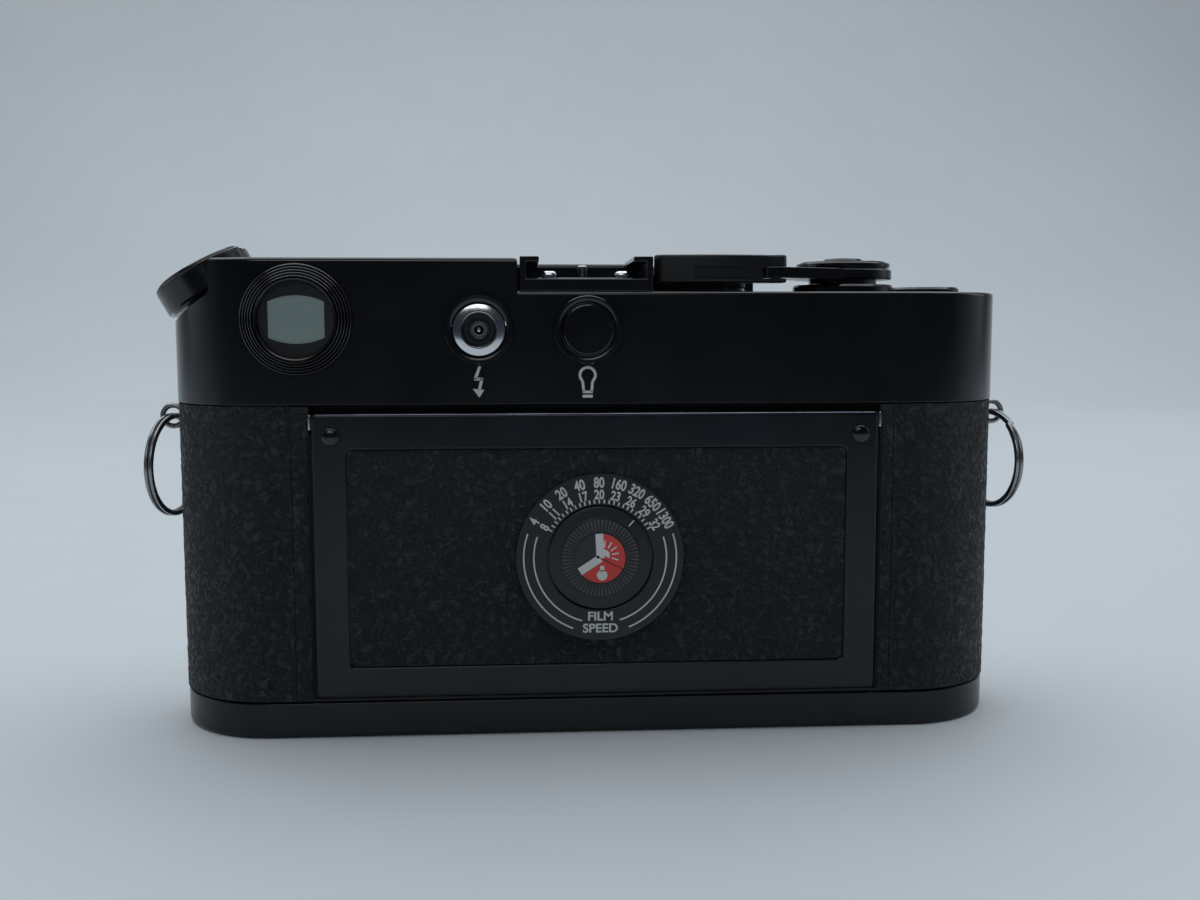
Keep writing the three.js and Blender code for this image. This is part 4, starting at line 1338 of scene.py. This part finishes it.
bayonet()
lens_tube()
focus_grip()
aperture_grip()
lens_front()
front_lever("timer_arm", "self_timer_lever", "timer", (-34, 36), 4.2, 2.6, 15.5, 3, -16.95, -18.8, -20.2)
front_lever(
    "rewind_arm", "rewind_selector", "rewind_lever", (-46.5, 46.5), 2.9, 1.7, 7, 1.4, -16.95, -17.6, -18.4,
)
front_lever(
    "frame_arm", "frame_selector", "frame_lever", (29.5, 40.5), 3.2, 2.0, 14, 1.6, -16.95, -17.7, -18.7,
)
catch = [
    (0, -13), (2.2, -13), (2.2, -15.8), (3.0, -15.8), (3.1, -16), (3.1, -18.6), (2.8, -18.9), (2.2, -18.95),
]
catch = spin(catch + [(0, -18.7)], 64, "Y", CATCH)
make("lens_catch", [(catch, SATIN)], "lens_lock", ["lens_release_button"], 35)
ribs = []
for i in range(33):
    ribs.append((14.8 + 15.9 * i / 32, -16.9 + (0.16 if i % 2 else 0.0)))
pane = prism(ribs + [(30.7, -15.9), (14.8, -15.9)], 66.1, 73.7)
make("ribbed_window", [(pane, FROST)], "camera", ["illumination_window"], 20)
for name, node, x0, x1, z0, z1 in (
    ("finder_window", "viewfinder_window", 39.9, 51.7, 65.9, 73.9), (
        "range_window", "rangefinder_window", -24.8, -19.0, 68.4, 73.1,
    )
):
    make(
        name, [(slab(rect(x0, x1, z0, z1, 0.5), -16.9, -15.9, 0, 0.15, "Y"), CLEAR)], "camera",
        [node], 35,
    )


# ------------------------------------------------------ carried-over CAD pieces
CARRIED = (
    (MATT, ("body_shell", "chassis", "pressure_plate")),
    (STEEL, ("take_up_spool", "sprocket_roller", "rewind_fork", "pressure_spring")),
    (CLOTH, ("shutter_curtain",)),
    (CLEAR, ("finder_prism",)),
)
for material, names in CARRIED:
    for name in names:
        for carried_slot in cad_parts[name].material_slots:
            carried_slot.material = material


# ------------------------------------------------------------------------- stage
PAPER_HALF = 3.5
DARK_ROOM = (0.020, 0.027, 0.035, 1)
BRIGHT_ROOM = (0.36, 0.41, 0.46, 1)


def stage():
    """Paper that curves up beyond the object, soft lights and a dim room, all in metres."""
    m = Nodes("studio_paper")
    m.link(
        m.tint(m.ranged(m.noise(3, 3), 0, 1), (0.60, 0.635, 0.665), (0.64, 0.675, 0.70)),
        m.shader.inputs["Base Color"],
    )
    m.link(m.ranged(m.noise(40, 3), 0.55, 0.7), m.shader.inputs["Roughness"])
    near, far, bend, top = 0.42, -0.75, 0.6, 3.0
    curve = [polar(bend, angle, (far, bend)) for angle in range(264, 179, -6)]
    profile = [(near, 0.0), (far, 0.0)] + curve + [(far - bend, top)]
    verts, faces = [], []
    for y, z in profile:
        verts += [(-PAPER_HALF, y, z), (PAPER_HALF, y, z)]
    for i in range(len(profile) - 1):
        faces.append((2 * i, 2 * i + 1, 2 * i + 3, 2 * i + 2))
    mesh = bpy.data.meshes.new("paper")
    mesh.from_pydata(verts, [], faces)
    mesh.materials.append(m.material)
    mesh.shade_smooth()
    paper = bpy.data.objects.new("paper", mesh)
    bpy.context.scene.collection.objects.link(paper)

    world = bpy.data.worlds.new("studio")
    bpy.context.scene.world = world
    world.use_nodes = True
    tree = world.node_tree
    background = tree.nodes["Background"]
    place = tree.nodes.new("ShaderNodeTexCoord")
    split = tree.nodes.new("ShaderNodeSeparateXYZ")
    tree.links.new(place.outputs["Generated"], split.inputs[0])
    fade = tree.nodes.new("ShaderNodeMapRange")
    for i, v in enumerate((-0.55, 0.55, 1.0, 0.0)):
        fade.inputs[i + 1].default_value = v
    tree.links.new(split.outputs["Y"], fade.inputs[0])
    mix = tree.nodes.new("ShaderNodeMix")
    mix.data_type = "RGBA"
    colours = colour_sockets(mix.inputs)
    colours[0].default_value = DARK_ROOM
    colours[1].default_value = BRIGHT_ROOM
    tree.links.new(fade.outputs[0], mix.inputs["Factor"])
    seen = tree.nodes.new("ShaderNodeLightPath")
    pick = tree.nodes.new("ShaderNodeMix")
    pick.data_type = "RGBA"
    ends = colour_sockets(pick.inputs)
    tree.links.new(colour_sockets(mix.outputs)[0], ends[0])
    ends[1].default_value = BRIGHT_ROOM
    tree.links.new(seen.outputs["Is Camera Ray"], pick.inputs["Factor"])
    tree.links.new(colour_sockets(pick.outputs)[0], background.inputs["Color"])
    background.inputs["Strength"].default_value = 1.0

    def softbox(name, place_, target, size, power, colour):
        lamp = bpy.data.lights.new(name, "AREA")
        lamp.shape = "RECTANGLE"
        lamp.size, lamp.size_y = size
        lamp.energy = power
        lamp.color = colour
        thing = bpy.data.objects.new(name, lamp)
        thing.location = place_
        thing.rotation_euler = (Vector(target) - Vector(place_)).to_track_quat("-Z", "Y").to_euler()
        bpy.context.scene.collection.objects.link(thing)

    softbox("top_light", (0.0, -0.35, 1.3), (0, 0, 0), (2.2, 1.8), 20, (0.92, 0.965, 1.0))
    softbox("left_light", (1.3, -0.2, 0.55), (0, 0, 0.04), (0.7, 0.9), 0.8, (0.93, 1.0, 0.99))
    softbox("right_light", (-1.3, -0.2, 0.6), (0, 0, 0.04), (0.7, 0.9), 1.1, (0.93, 0.97, 1.0))
    softbox("front_fill", (0.2, 1.4, 0.9), (0, 0, 0.03), (0.8, 0.6), 3.0, (0.92, 0.97, 1.0))


stage()


FOCAL_LENGTH = 36.63
VIEW_ANGLES = (-3.65, -5.69, 0.07)
VIEW_PLACE = (0.0118, 0.2096, 0.0655)


def shoot():
    """The camera, behind the object as in the photo: yaw, pitch and roll in degrees, place in metres."""
    camera = bpy.data.cameras.new("camera_view")
    camera.sensor_width = 36.0
    camera.lens = FOCAL_LENGTH
    camera.clip_start = 0.01
    camera.clip_end = 20
    thing = bpy.data.objects.new("camera_view", camera)
    yaw, pitch, roll = (math.radians(a) for a in VIEW_ANGLES)
    turn_ = Matrix.Rotation(yaw, 3, "Z")
    right, up, ahead = Vector((-1, 0, 0)), Vector((0, 0, 1)), Vector((0, -1, 0))
    right, ahead = turn_ @ right, turn_ @ ahead
    tip = Matrix.Rotation(pitch, 3, right)
    up, ahead = tip @ up, tip @ ahead
    lean = Matrix.Rotation(roll, 3, ahead)
    right, up = lean @ right, lean @ up
    basis = Matrix((right, up, -ahead)).transposed().to_4x4()
    thing.matrix_world = Matrix.Translation(VIEW_PLACE) @ basis
    bpy.context.scene.collection.objects.link(thing)
    bpy.context.scene.camera = thing


shoot()
bpy.context.scene.view_settings.view_transform = "Standard"
